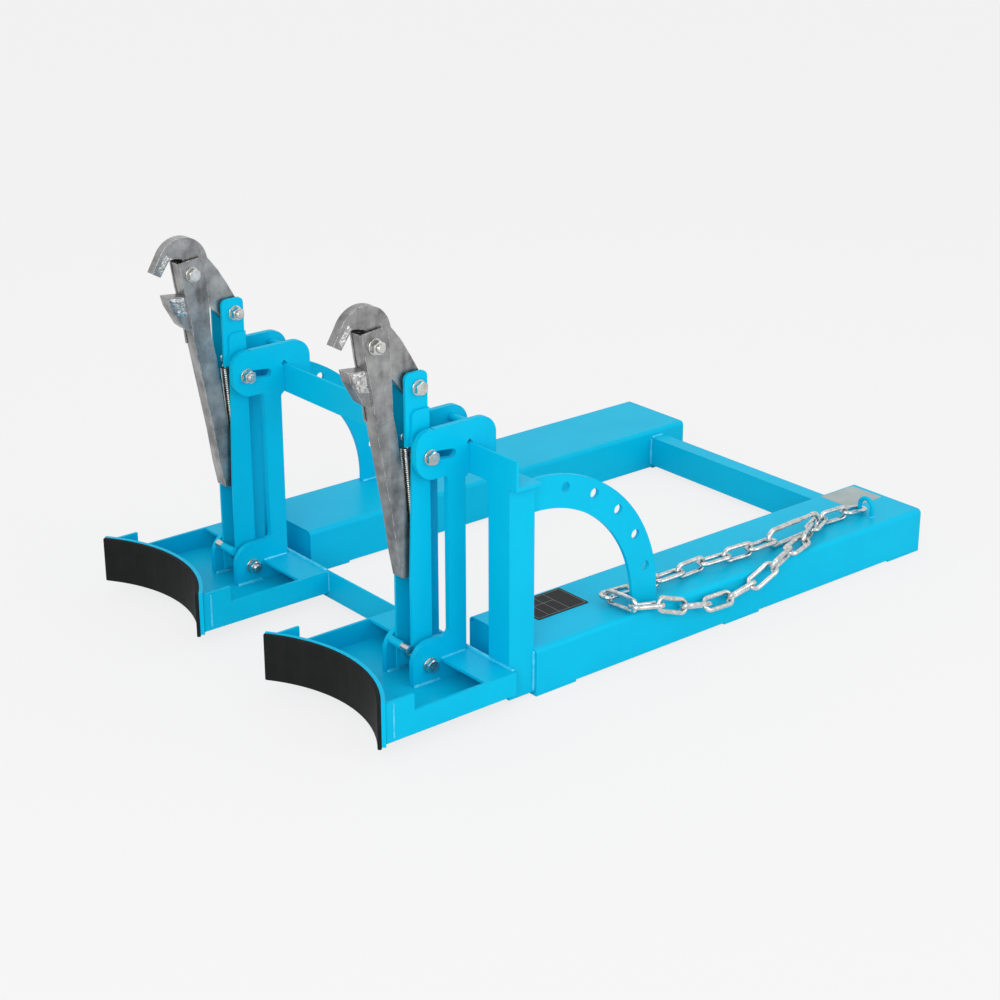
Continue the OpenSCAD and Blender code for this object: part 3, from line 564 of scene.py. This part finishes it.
FINISHES = (
    Finish(
        "blue_paint", (0.0, 0.50, 0.75), (0.0, 0.46, 0.71), (0.01, 0.38, 0.56), (0.34, 0.48),
        round_mm=1.0, broad=7.0, fine=420.0, bump=0.25, bump_mm=0.12, edge=0.35,
        coat=0.02, dust=0.01, streak=0.05, specular=0.06,
    ),
    # Weld paint: drawn lighter than blue_paint, in its colour and in its worn colour at the edges, as a painted
    # highlight on the beads.
    Finish(
        "weld_paint_highlit", (0.06, 0.68, 0.90), (0.0, 0.46, 0.72), (0.12, 0.72, 0.92), (0.16, 0.28),
        round_mm=0.3, broad=60.0, fine=600.0, bump=0.35, bump_mm=0.20, edge=0.3, coat=0.60, specular=0.4,
    ),
    Finish(
        "bright_zinc", (0.74, 0.74, 0.72), (0.46, 0.46, 0.44), (0.90, 0.90, 0.90), (0.18, 0.36),
        round_mm=0.4, broad=60.0, fine=500.0, bump=0.25, bump_mm=0.12, edge=0.6, metal=1.0, dust=0.02,
    ),
    Finish(
        "chain_zinc", (0.80, 0.81, 0.80), (0.42, 0.43, 0.43), (0.92, 0.92, 0.92), (0.14, 0.32),
        round_mm=0.3, broad=90.0, fine=400.0, bump=0.45, bump_mm=0.25, edge=0.2, metal=1.0,
    ),
    # Dark zinc: bright edges and streaks in its worn colour are a painted highlight, and its wide mottle from
    # deep to colour is random tone widened as painted reflection.
    Finish(
        "dark_zinc", (0.40, 0.40, 0.40), (0.12, 0.12, 0.12), (0.78, 0.78, 0.78), (0.24, 0.44),
        round_mm=0.8, broad=22.0, fine=350.0, bump=0.5, bump_mm=0.30, edge=1.0, metal=0.9, streak=0.12,
    ),
    Finish(
        "hard_facing", (0.86, 0.86, 0.86), (0.16, 0.16, 0.16), (0.95, 0.95, 0.95), (0.12, 0.34),
        round_mm=0.2, broad=230.0, fine=700.0, bump=0.6, bump_mm=0.35, edge=0.6, metal=1.0,
    ),
    Finish(
        "pad_rubber", (0.012, 0.013, 0.013), (0.008, 0.009, 0.009), (0.05, 0.04, 0.03), (0.62, 0.80),
        round_mm=0.6, broad=30.0, fine=500.0, bump=0.6, bump_mm=0.30, edge=0.7,
        dust=0.01, streak=0.05, specular=0.12,
    ),
    Finish(
        "plate_black", (0.012, 0.014, 0.014), (0.008, 0.009, 0.009), (0.05, 0.05, 0.05), (0.40, 0.55),
        round_mm=0.2, broad=30.0, fine=500.0, bump=0.15, bump_mm=0.05, edge=0.3, specular=0.12,
    ),
    Finish(
        "plate_line", (0.26, 0.28, 0.27), (0.20, 0.22, 0.21), (0.30, 0.30, 0.30), (0.50, 0.65),
        round_mm=0.1, broad=30.0, fine=500.0, bump=0.10, bump_mm=0.05, edge=0.1, specular=0.12,
    ),
    Finish(
        "blank_label", (0.40, 0.46, 0.46), (0.34, 0.40, 0.40), (0.50, 0.52, 0.52), (0.50, 0.65),
        round_mm=0.1, broad=26.0, fine=300.0, bump=0.20, bump_mm=0.08, edge=0.2, specular=0.15,
    ),
)


# Fasteners


@dataclass
class BoltStack:
    """A hex bolt through a stack, with two washers, a nut and any pair of spacer tubes, along X.

    The stack's half width, place and head side are in the gripper unit's own layout, in millimetres.
    Spacer says between which distances from the middle a tube lies on each side.
    """

    half: float
    y: float
    z: float
    head: int
    spacer: Pair = (0.0, 0.0)
    shank_r: float = 8.0
    across_flats: float = 24.0
    head_h: float = 10.0
    nut_h: float = 13.0
    washer_r: float = 15.0
    washer_t: float = 3.0
    end: float = 6.0
    pitch: float = 2.0
    thread_depth: float = 0.75
    shank_slack: float = 0.05
    bore_slack: float = 0.02
    tip_cut: float = 1.4
    tip_slope: float = 0.9
    washer_bevel: float = 0.5
    spacer_bevel: float = 0.4
    spacer_wall: float = 5.0
    angles: int = 96
    thread_angles: int = 48
    ring_angles: int = 64
    smooth: float = 28.0

    def _hex_radius(self) -> np.ndarray:
        """Radius of the hexagon at each angle.

        It is the apothem over the cosine of the angle to the middle of the nearest flat.
        """
        angle = np.linspace(0, 360, self.angles, endpoint=False)
        return self.across_flats / 2 / np.cos(np.radians((angle + 30) % 60 - 30))

    def _chamfered(self, x0: float, x1: float, both: bool) -> tuple[np.ndarray, np.ndarray]:
        """Rows of a hexagon whose ends are cut by a 30 degree cone.

        At each row the radius is the smaller of the hexagon's and the cone's, which grows away from the face.

        Args:
            x0: the end at the washer.
            x1: the outer end.
            both: whether the end at x0 is cut too.

        Returns:
            The rows' positions and radii.
        """
        flat, hexagon = 0.475 * self.across_flats, self._hex_radius()
        depth = np.array([0.0, 0.3, 0.6, 0.9, 1.2, 1.6])
        step = math.copysign(1.0, x1 - x0)
        cone = np.minimum(hexagon[None], flat + depth[:, None] * math.sqrt(3))
        start = cone if both else np.repeat(hexagon[None], len(depth), 0)
        xs = np.concatenate([x0 + step * depth, (x1 - step * depth)[::-1]])
        return xs, np.concatenate([start, cone[::-1]])

    def bolt(self) -> list[Shell]:
        """Head and threaded shank; the thread's radius falls and rises once a pitch as it turns.

        Returns:
            Two closed shells.
        """
        head_x = self.half + self.washer_t
        xs, radii = self._chamfered(head_x, head_x + self.head_h, False)
        head = capped_tube(around_x(xs, radii, self.y, self.z))
        tip = -self.half - self.washer_t - self.nut_h - self.end
        x = np.linspace(tip, -self.half - self.washer_t - 1, 64)
        turn = np.linspace(0, 1, self.thread_angles, endpoint=False)
        wave = np.abs(((x[:, None] / self.pitch + turn[None]) % 1) * 2 - 1)
        thread = self.shank_r - self.shank_slack - self.thread_depth * wave
        thread = np.minimum(thread, self.shank_r - self.tip_cut + (x - tip)[:, None] * self.tip_slope)
        rows = np.concatenate([x, [head_x + 0.5]])
        radii = np.concatenate([thread, np.full((1, self.thread_angles), self.shank_r - self.shank_slack)])
        return [head, capped_tube(around_x(rows, radii, self.y, self.z))]

    def _ring(self, x0: float, x1: float, outer: float, bevel: float) -> Shell:
        """Ring with bevelled outer edges between x0 and x1, bored for the shank."""
        x = np.array([x0, x0 + bevel, x1 - bevel, x1, x1, x0])
        bore = self.shank_r + self.bore_slack
        r = np.array([outer - bevel, outer, outer, outer - bevel, bore, bore])
        return closed_ring(around_x(x, np.repeat(r[:, None], self.ring_angles, 1), self.y, self.z))

    def nut(self) -> list[Shell]:
        """Nut, both washers and the spacer tubes.

        Returns:
            Closed shells.
        """
        face = -self.half - self.washer_t
        xs, radii = self._chamfered(face, face - self.nut_h, True)
        xs = np.concatenate([xs, [face - self.nut_h, face]])
        radii = np.concatenate([radii, np.full((2, self.angles), self.shank_r + self.bore_slack)])
        nut = closed_ring(around_x(xs, radii, self.y, self.z))
        ends = ((self.half, self.half + self.washer_t), (face, -self.half))
        washers = [self._ring(a, b, self.washer_r, self.washer_bevel) for a, b in ends]
        (near, far), outer = self.spacer, self.shank_r + self.spacer_wall
        spans = ((near, far), (-far, -near)) if far else ()
        return [nut, *washers, *(self._ring(a, b, outer, self.spacer_bevel) for a, b in spans)]

    def placed(self, shells: Sequence[Shell], side: Side) -> list[Shell]:
        """The shells at their gripper unit, mirrored on the right."""
        headed = [Shell(s.points * np.array([self.head, 1.0, 1.0]), s.faces).outward() for s in shells]
        return [s.at_unit(side) for s in headed]


@dataclass
class Fasteners:
    """The four pivot bolts of each gripper unit, with their nuts."""

    foot: BoltStack = field(default_factory=lambda: BoltStack(48.0, -158.0, 70.0, 1))
    tilt: BoltStack = field(default_factory=lambda: BoltStack(48.3, -150.0, 482.0, 1, (26.0, 35.7)))
    beak: BoltStack = field(default_factory=lambda: BoltStack(21.0, *BEAK_PIVOT, 1, (10.3, 15.0)))
    jaw: BoltStack = field(default_factory=lambda: BoltStack(19.0, *JAW_PIVOT, -1))

    def make(self, zinc: Material) -> None:
        """Makes the bolts and nuts and lets them stand for their CAD nodes."""
        moving = (("tilt", self.tilt, Body.POST), ("beak", self.beak, Body.POST), ("jaw", self.jaw, Body.JAW))
        for side in Side:
            for name, stack, body in moving:
                for word, shells in (("bolt", stack.bolt()), ("nut", stack.nut())):
                    node, placed = f"{name}_{word}_{side.word}", stack.placed(shells, side)
                    made = f"{node}_threaded"
                    piece = make_piece(made, placed, zinc, stack.smooth, body.on(side))
                    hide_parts(node)
        for word, shells in (("bolts", self.foot.bolt()), ("nuts", self.foot.nut())):
            both = [s for side in Side for s in self.foot.placed(shells, side)]
            piece = make_piece(f"foot_{word}_threaded", both, zinc, self.foot.smooth)
            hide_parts(f"foot_{word}")


# Springs and pads


@dataclass
class ReturnSpring:
    """Wound tension spring between the head bracket's bar and the jaw's pin, in millimetres.

    It rides on the post and keeps its length in every pose.
    """

    wire_r: float = 1.7
    coil_r: float = 8.3
    curls: int = 42
    top: Pair = (-172.0, 513.0)
    low: Pair = (-155.0, 300.0)
    hook_r: float = 6.3
    hook_turn: float = 150.0
    lead: float = 22.0
    curl_steps: int = 20
    wire_angles: int = 10

    def _path(self, span: float) -> tuple[np.ndarray, np.ndarray]:
        """Centre line and section normals from the lower hook to the upper one.

        Hooks are arcs in the Y-Z plane, curls a helix about Z, and a cubic blend joins them.

        Args:
            span: distance between the two bars.

        Returns:
            Points and normals, one row each.
        """
        turn = np.radians(np.linspace(-self.hook_turn, self.hook_turn, 26))
        arc = np.stack([0 * turn, self.hook_r * np.sin(turn), -self.hook_r * np.cos(turn)], -1)
        s = np.linspace(0, 1, self.curls * self.curl_steps + 1)
        a = 2 * math.pi * self.curls * s
        rise = self.lead + (span - 2 * self.lead) * s
        helix = np.stack([self.coil_r * np.cos(a), self.coil_r * np.sin(a), rise], -1)
        up = arc * np.array([1, -1, -1]) + np.array([0, 0, span])
        t = np.linspace(0, 1, 16)[1:-1, None]
        ease = t * t * (3 - 2 * t)
        low = arc[-1] * (1 - ease) + helix[0] * ease
        high = helix[-1] * (1 - ease) + up[0] * ease
        low[:, 2] = (arc[-1, 2] * (1 - t) + helix[0, 2] * t)[:, 0]
        high[:, 2] = (helix[-1, 2] * (1 - t) + up[0, 2] * t)[:, 0]
        path = np.concatenate([arc, low, helix, high, up])
        none = np.zeros(len(arc))
        share = np.concatenate([none, ease[:, 0], np.ones(len(helix)), 1 - ease[:, 0], none])
        normal = share[:, None] * np.array([0, 0, 1.0]) + (1 - share[:, None]) * np.array([1.0, 0, 0])
        return path, normal

    def make(self, zinc: Material) -> None:
        """Makes both springs and lets them stand for their CAD nodes."""
        dy, dz = self.top[0] - self.low[0], self.top[1] - self.low[1]
        span, lean = math.hypot(dy, dz), math.atan2(dy, dz)
        path, normal = self._path(span)
        rows = swept(path, normal, np.full((len(path), self.wire_angles), self.wire_r))
        c, s = math.cos(lean), math.sin(lean)
        y, z = rows[..., 1] * c + rows[..., 2] * s, -rows[..., 1] * s + rows[..., 2] * c
        placed = np.stack([rows[..., 0], y + self.low[0], z + self.low[1]], -1)
        for side in Side:
            node, shells = f"return_spring_{side.word}", [capped_tube(placed).at_unit(side)]
            piece = make_piece(f"{node}_wire", shells, zinc, 40, Body.POST.on(side))
            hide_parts(node)


@dataclass
class SaddlePad:
    """Rubber face around a drum, cut from sheet with slightly rounded edges, in millimetres."""

    inner: float = 297.0
    thick: float = 7.99
    half_angle: float = 37.0
    centre_y: float = DRUM_Y
    low: float = 20.0
    high: float = 115.0
    corner: float = 1.2
    steps: int = 97

    def make(self, rubber: Material) -> None:
        """Makes both pads: a round-cornered rectangle, carried round the drum's axis."""
        height = self.high - self.low
        angle = np.radians(np.linspace(-self.half_angle, self.half_angle, self.steps))
        outline = rounded_rectangle(self.thick, height, self.corner)
        inset, tall = np.ones(self.steps), np.ones(self.steps)
        inset[[0, -1]] = 1 - self.corner / self.thick
        tall[[0, -1]] = 1 - self.corner / height
        radius = self.inner + self.thick / 2 + outline[None, :, 0] * inset[:, None]
        z = (self.low + self.high) / 2 + outline[None, :, 1] * tall[:, None]
        x, y = radius * np.sin(angle)[:, None], self.centre_y + radius * np.cos(angle)[:, None]
        shell = capped_tube(np.stack([x, y, z], -1))
        for side in Side:
            node = f"saddle_pad_{side.word}"
            piece = make_piece(f"{node}_rubber", [shell.at_unit(side)], rubber, 50)
            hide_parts(node)


# Welds


@dataclass
class Seam:
    """One weld along a line of points; out is the direction the bead bulges to."""

    points: list[Point]
    out: Point
    size: float = 3.2
    on_jaw: bool = False


@dataclass
class Welds:
    """Painted weld beads where the plates and tubes meet, in millimetres."""

    step: float = 0.9
    ripple: float = 2.6
    sides: int = 12
    wobble: float = 0.22
    knots: int = 9
    core: float = 0.86
    ridge: float = 0.16
    swell: float = 0.06
    bend: float = 0.7
    point: float = 0.05

    def _bead(self, seam: Seam, seed: int) -> Shell:
        """Rippled bead along a seam.

        Radius = size times (core + ridge times the sine's absolute value + swell times the wander) times a
        taper to a point at both ends. The sine repeats every ripple and bends back at the flanks.

        Args:
            seam: the seam.
            seed: number that fixes the wander.

        Returns:
            The closed shell.
        """
        corner = np.array(seam.points, float)
        run = np.concatenate([[0.0], np.cumsum(np.linalg.norm(np.diff(corner, axis=0), axis=1))])
        count = max(8, int(run[-1] / self.step))
        s = np.linspace(0, run[-1], count)
        path = np.stack([np.interp(s, run, corner[:, i]) for i in range(3)], -1)
        out = np.array(seam.out, float) / np.linalg.norm(seam.out)
        noise = np.random.default_rng(seed)
        wander = np.interp(s, np.linspace(0, run[-1], self.knots), noise.uniform(-1, 1, self.knots))
        path = path + out * (wander * self.wobble)[:, None]
        angle = np.linspace(0, 2 * math.pi, self.sides, endpoint=False)
        phase = (s[:, None] + self.bend * seam.size * np.cos(angle)[None]) / self.ripple
        pool = np.abs(np.sin(math.pi * phase))
        near = np.clip(np.minimum(s, run[-1] - s) / seam.size, 0.0, 1.0)
        taper = np.maximum(np.sqrt(near * (2 - near)), self.point)[:, None]
        radius = seam.size * (self.core + self.ridge * pool + self.swell * wander[:, None]) * taper
        return capped_tube(swept(path, np.broadcast_to(out, path.shape), radius))

    def _frame_seams(self) -> list[Seam]:
        """Seams of the left half of the frame, which the right half mirrors."""
        seams = [
            Seam([(403, 0.5, 97), (461, 0.5, 97)], (0, 1, 1), 4.6),
            Seam([(462, -1, 10), (462, -1, 94)], (1, 1, 0), 4.0),
            Seam([(462, -59, 30), (462, -59, 73)], (1, -1, 0), 2.8),
            Seam([(462, -58, 430), (462, -2, 430)], (1, 0, 0), 1.9),
            Seam([(404, 0, 430), (460, 0, 430)], (0, 1, 0), 1.9),
            Seam([(402, -58, 430), (402, -8, 430)], (-1, 0, -1), 2.6),
            Seam([(270, 996, 80), (270, 1032, 80)], (-1, 0, 1), 3.2),
            Seam([(270, 994, 12), (270, 994, 78)], (-1, -1, 0), 3.2),
            Seam([(270, 1034, 12), (270, 1034, 78)], (-1, 1, 0), 3.2),
            Seam([(402, -60, 17), (402, -60, 73)], (-1, -1, 0), 2.4),
            Seam([(402, -53, 22), (402, -53, 73)], (-1, 1, 0), 2.6),
            Seam([(118, -60, 30), (118, -60, 73)], (-1, -1, 0), 2.4),
        ]
        for x, way in ((450, 1), (442, -1)):
            seams.append(Seam([(x, 262, 97), (x, 323, 97)], (way, 0, 1), 3.2))
            seams.append(Seam([(x, 0.5, 368), (x, 0.5, 428)], (way, 1, 0), 2.8))
        return seams

    def _unit_seams(self) -> list[Seam]:
        """Seams of one gripper unit, in its own layout."""
        turn = np.radians(np.linspace(-33, 33, 25))
        seams = [
            Seam([(313 * math.sin(a), DRUM_Y + 313 * math.cos(a), 34) for a in turn], (0, 0.7, 1), 4.0),
            Seam([(-176, -61, 75), (176, -61, 75)], (0, -1, 1), 4.2),
        ]
        for x, way in ((48, 1), (36, -1), (-36, 1), (-48, -1)):
            seams.append(Seam([(x, -196, 34), (x, -133, 34)], (way, 0, 1), 5.0))
            seams.append(Seam([(x, -130, 75), (x, -72, 75)], (way, 0, 1), 3.4))
        for way in (-1, 1):
            seams.append(Seam([(way * 183, -343, 34), (way * 183, -343, 104)], (way, 1, 0), 2.4))
            web = [(way * 15, y, z) for y, z in ((-253, 611), (-246, 555), (-212, 562))]
            front = [(way * 15, y, z) for y, z in ((-262, 658), (-254, 613), (-251, 593))]
            seams.append(Seam(web, (way, 0, 0), 1.3, on_jaw=True))
            seams.append(Seam(front, (way, -1, 0), 2.0, on_jaw=True))
        return seams

    def _eye_seams(self) -> list[Seam]:
        """Rings of weld round the two legs of the chain's eye."""
        turn = np.linspace(0, 2 * math.pi, 33)
        rings = [[(x + 5 * math.cos(a), 982 + 5 * math.sin(a), 97.5) for a in turn] for x in (397, 431)]
        return [Seam(ring, (0, 0, 1), 2.2) for ring in rings]

    def make(self, paint: Material, plating: Material) -> None:
        """Makes one piece of beads for the frame and one for each jaw."""
        frame_beads: list[Shell] = []
        for number, seam in enumerate(self._frame_seams()):
            for side in Side:
                frame_beads.append(self._bead(seam, number * 2 + (side is Side.LEFT)).mirrored(side))
        frame_beads += [self._bead(seam, 90 + n) for n, seam in enumerate(self._eye_seams())]
        jaws: dict[Side, list[Shell]] = {Side.LEFT: [], Side.RIGHT: []}
        for number, seam in enumerate(self._unit_seams()):
            for side in Side:
                shell = self._bead(seam, 200 + number * 2 + (side is Side.LEFT)).at_unit(side)
                (jaws[side] if seam.on_jaw else frame_beads).append(shell)
        # The frame's beads take the weld paint, lighter than the frame's paint as a painted highlight.
        make_piece("frame_weld_beads", frame_beads, paint, 60)
        for side in Side:
            name = f"jaw_weld_beads_{side.word}"
            make_piece(name, jaws[side], plating, 60, Body.JAW.on(side))


# Hard facing and paint on the pin


@dataclass
class Deposit:
    """Rough weld metal on one flat side of a plate, between four corners, in the unit's own layout."""

    corners: list[Pair]
    x: float
    height: float = 0.9
    sunk: float = 0.3
    steps: int = 40

    def shell(self, seed: int) -> Shell:
        """The deposit as a closed blister.

        Points = a bilinear blend of the corners. Height = a flat dome times speckled noise, 0 at the rim.
        The underside lies flat just inside the plate.

        Args:
            seed: number that fixes the speckles.

        Returns:
            The closed shell.
        """
        n = self.steps
        u, v = np.meshgrid(np.linspace(0, 1, n), np.linspace(0, 1, n), indexing="ij")
        shares = ((1 - u) * (1 - v), u * (1 - v), u * v, (1 - u) * v)
        flat = sum(corner * share[..., None] for corner, share in zip(np.array(self.corners), shares))
        noise = np.random.default_rng(seed).uniform(0.25, 1.0, (n, n))
        noise = (noise + np.roll(noise, 1, 0) + np.roll(noise, 1, 1)) / 3
        dome = np.clip(6 * np.minimum(np.minimum(u, 1 - u), np.minimum(v, 1 - v)), 0, 1)
        out = math.copysign(1.0, self.x)
        raised = (self.x + out * (self.height * noise * dome))[..., None]
        top = np.concatenate([raised, flat], -1).reshape(-1, 3)
        low = np.concatenate([np.full((n, n, 1), self.x - out * self.sunk), flat], -1).reshape(-1, 3)
        k = np.arange(n - 1)
        a = (k[:, None] * n + k[None]).ravel()
        up = quads(a, a + 1, a + n + 1, a + n)
        ring = np.concatenate([k, k * n + n - 1, n * n - 1 - k, (n - 1 - k) * n])
        after, below = np.roll(ring, -1), n * n
        wall = quads(ring, ring + below, after + below, after)
        faces = np.concatenate([up, up[:, ::-1] + below, wall])
        return Shell(np.concatenate([top, low]), faces).outward()


@dataclass
class Dressings:
    """Hard facing on the nose and the tooth, and the paint over the middle of the foot pin."""

    pin: Pair = (-190.0, 104.0)
    pin_r: float = 8.25
    painted: Pair = (-30.6, 9.0)

    def make(self, metal: Material, paint: Material) -> None:
        """Makes the deposits on both grippers and the painted bands on both pins."""
        nose = [(-161.0, 113.0), (-155.0, 101.0), (-134.5, 131.5), (-141.5, 140.0)]
        tooth = [(-52.0, -42.0), (-18.0, -45.0), (-10.0, -84.0), (-35.0, -79.0)]
        spots = (
            ("nose", BEAK_PIVOT, nose, 10.0, Body.BEAK),
            ("tooth", JAW_PIVOT, tooth, 15.0, Body.JAW),
        )
        low, high = self.painted
        x = np.array([low, low + 0.6, high - 2.0, high])
        r = np.array([self.pin_r - 0.2, self.pin_r, self.pin_r, self.pin_r - 0.2])
        band = capped_tube(around_x(x, np.repeat(r[:, None], 48, 1), *self.pin))
        for side in Side:
            for name, at, corner, half, body in spots:
                placed = [(y + at[0], z + at[1]) for y, z in corner]
                shells = [Deposit(placed, way * half).shell(7 + way).at_unit(side) for way in (-1, 1)]
                made = f"{name}_hard_facing_{side.word}"
                make_piece(made, shells, metal, 30, body.on(side))
            made = f"foot_pin_paint_{side.word}"
            make_piece(made, [band.at_unit(side)], paint, 40, Body.POST.on(side))


# Plates


@dataclass
class FlatPlate:
    """Thin plate or label with round corners, lying on the sleeve, in millimetres."""

    x: float
    y: float
    width: float
    length: float
    low: float
    thick: float
    corner: float

    def shell(self) -> Shell:
        """The plate: its outline raised, then drawn in a little at the top edge."""
        inset = min(0.3, self.thick / 2)
        outline = rounded_rectangle(self.width, self.length, self.corner)
        drawn = outline * (1 - 2 * inset / np.array([self.width, self.length]))
        top = self.low + self.thick
        levels = [(outline, self.low), (outline, top - inset), (drawn, top)]
        rows = [np.concatenate([o, np.full((len(o), 1), z)], 1) for o, z in levels]
        return capped_tube(np.stack(rows)).moved(self.x, self.y, 0)


@dataclass
class Plates:
    """The blank data plate with empty ruled boxes, and the blank label beside the eye."""

    plate: FlatPlate = field(default_factory=lambda: FlatPlate(328.0, 153.0, 90.0, 130.0, 97.0, 1.0, 4.0))
    label: FlatPlate = field(default_factory=lambda: FlatPlate(324.0, 1038.0, 86.0, 102.0, 97.0, 0.6, 2.0))
    rule: float = 1.0

    def _rules(self) -> list[Shell]:
        """Thin raised lines: a border, three cross lines and an upright one, around seven empty boxes."""
        p, top = self.plate, self.plate.low + self.plate.thick - 0.05
        lines = [(p.x + s * (p.width / 2 - 5), p.y, self.rule, p.length - 9) for s in (-1, 1)]
        lines += [(p.x, p.y + dy, p.width - 9, self.rule) for dy in (-60, -34, -8, 18, 60)]
        lines += [(p.x - 8, p.y - 21, self.rule, 78)]
        return [FlatPlate(x, y, w, d, top, 0.15, 0.3).shell() for x, y, w, d in lines]

    def make(self, black: Material, line: Material, paper: Material) -> None:
        """Makes the plate, its ruled lines and the label."""
        plate = make_piece("data_plate_blank", [self.plate.shell()], black, 30)
        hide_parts("data_plate")
        make_piece("data_plate_rules", self._rules(), line, 30)
        sheet = make_piece("blank_label_sheet", [self.label.shell()], paper, 30)
        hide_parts("blank_label")


# Studio


@dataclass
class Studio:
    """Camera, lights, floor and backdrop colour."""

    eye: Point = (3.1299, -2.6444, 1.7989)
    azimuth: float = 50.48
    elevation: float = 21.78
    lens: float = 75.01
    backdrop: float = 0.921
    glow: float = 0.935
    glow_share: float = 0.85
    ambient: float = 0.80
    floor_reach: float = 14.0
    floor_z: float = -0.0006

    def camera(self) -> None:
        """Puts the camera at the photograph's place and turns it to the object."""
        data = bpy.data.cameras.new("camera")
        data.lens, data.sensor_width = self.lens, 36.0
        data.clip_start, data.clip_end = 0.05, 60.0
        camera = bpy.data.objects.new("camera", data)
        bpy.context.scene.collection.objects.link(camera)
        a, e = math.radians(self.azimuth), math.radians(self.elevation)
        ahead = Vector((-math.sin(a) * math.cos(e), math.cos(a) * math.cos(e), -math.sin(e)))
        camera.location = self.eye
        camera.rotation_mode = "QUATERNION"
        camera.rotation_quaternion = ahead.to_track_quat("-Z", "Y")
        bpy.context.scene.camera = camera

    def _lamp(self, name: str, place: Point, size: float, power: float) -> None:
        """Adds a square area lamp that looks at the object's middle."""
        data = bpy.data.lights.new(name, "AREA")
        data.shape, data.size, data.energy = "SQUARE", size, power
        lamp = bpy.data.objects.new(name, data)
        bpy.context.scene.collection.objects.link(lamp)
        lamp.location = place
        lamp.rotation_mode = "QUATERNION"
        lamp.rotation_quaternion = (Vector((0, 0, 0.3)) - Vector(place)).to_track_quat("-Z", "Y")

    def _seen(self, g: Graph) -> Socket:
        """1 where the camera looks, straight, in a mirror or through glass, else 0."""
        path = g.add("ShaderNodeLightPath")
        either = g.math("MAXIMUM", path.outputs["Is Camera Ray"], path.outputs["Is Glossy Ray"])
        return g.math("MAXIMUM", either, path.outputs["Is Transmission Ray"])

    @staticmethod
    def _finish(g: Graph, share: Socket, a: Node, b: Node, kind: str) -> None:
        """Mixes the shaders a and b by a share and links them to a new output node of a kind."""
        mix = g.add("ShaderNodeMixShader")
        for socket, source in zip(mix.inputs, (share, a.outputs[0], b.outputs[0])):
            g.link(source, socket)
        g.link(mix.outputs[0], g.add(kind).inputs[0])

    def world(self) -> None:
        """Pale world: the backdrop's colour where it is seen, and soft ambient light elsewhere."""
        world = bpy.data.worlds.new("studio")
        world.use_nodes = True
        g = Graph(world.node_tree)
        seen = g.add("ShaderNodeBackground", Color=(self.backdrop,) * 3 + (1.0,), Strength=1.0)
        soft = g.add("ShaderNodeBackground", Color=(1.0, 1.0, 1.0, 1.0), Strength=self.ambient)
        self._finish(g, self._seen(g), soft, seen, "ShaderNodeOutputWorld")
        bpy.context.scene.world = world

    def floor(self) -> None:
        """Pale floor that keeps a soft shadow."""
        mesh = bpy.data.meshes.new("floor")
        r, z = self.floor_reach, self.floor_z
        mesh.from_pydata([(-r, -r, z), (r, -r, z), (r, r, z), (-r, r, z)], [], [(0, 1, 2, 3)])
        floor = bpy.data.objects.new("floor", mesh)
        bpy.context.scene.collection.objects.link(floor)
        material = bpy.data.materials.new("floor")
        material.use_nodes = True
        g = Graph(material.node_tree)
        matt = g.add("ShaderNodeBsdfDiffuse", Color=(0.72, 0.72, 0.72, 1.0))
        glow = g.add("ShaderNodeEmission", Color=(self.glow,) * 3 + (1.0,), Strength=1.0)
        share = g.math("MULTIPLY", self._seen(g), self.glow_share)
        self._finish(g, share, matt, glow, "ShaderNodeOutputMaterial")
        mesh.materials.append(material)
        floor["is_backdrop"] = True

    def make(self) -> None:
        """Sets the view transform and builds the studio."""
        bpy.context.scene.view_settings.view_transform = "Standard"
        self.camera()
        self.world()
        self._lamp("key", (2.6, -3.2, 2.0), 2.2, 62.0)
        self._lamp("fill", (3.6, 1.4, 1.6), 2.2, 34.0)
        self._lamp("top", (-1.0, 0.5, 3.8), 3.0, 14.0)
        self.floor()


# Dressing


class Dresser:
    """Gives every CAD node that stays in view its finish."""

    def __init__(self, nodes: dict[str, bpy.types.Object], slots: dict[str, str]) -> None:
        """Keeps the CAD nodes and the slot of each."""
        self.nodes = nodes
        self.slots = slots

    def dress(self, finishes: dict[str, Material], special: dict[str, Material]) -> None:
        """Assigns a material to every slot of every node.

        Args:
            finishes: material for each slot of the record.
            special: material for a node that differs from its slot.
        """
        for name, node in self.nodes.items():
            material = special.get(name, finishes[self.slots[name]])
            if not node.material_slots:
                node.data.materials.append(material)
            for place in node.material_slots:
                place.material = material
            LOG.info("node %s: %s", name, material.name)


def corners() -> list[list[float]]:
    """The shown object's lowest and highest corner as plain lists."""
    return [list(map(float, corner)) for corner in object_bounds()]


def main() -> None:
    """Builds the studio, dresses the frame and makes the added pieces in order."""
    logging.basicConfig(level=logging.INFO, format="%(name)s: %(message)s")
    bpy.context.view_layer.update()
    Studio().make()
    effects = Effects()
    built = {f.name: f.build(effects) for f in FINISHES}
    slots = {p["node"]: p["material_slot"] for p in frame["record"]["subparts"]}
    finishes = {**built, "frame_paint": built["blue_paint"], "data_plate": built["plate_black"]}
    special = {name: built["chain_zinc"] for name in ("chain_links", "snap_hook", "snap_hook_gate")}
    Dresser(frame["nodes"], slots).dress(finishes, special)
    Fasteners().make(built["bright_zinc"])
    ReturnSpring().make(built["bright_zinc"])
    SaddlePad().make(built["pad_rubber"])
    Welds().make(built["weld_paint_highlit"], built["dark_zinc"])
    Dressings().make(built["hard_facing"], built["blue_paint"])
    Plates().make(built["plate_black"], built["plate_line"], built["blank_label"])


if __name__ == "__main__":
    main()
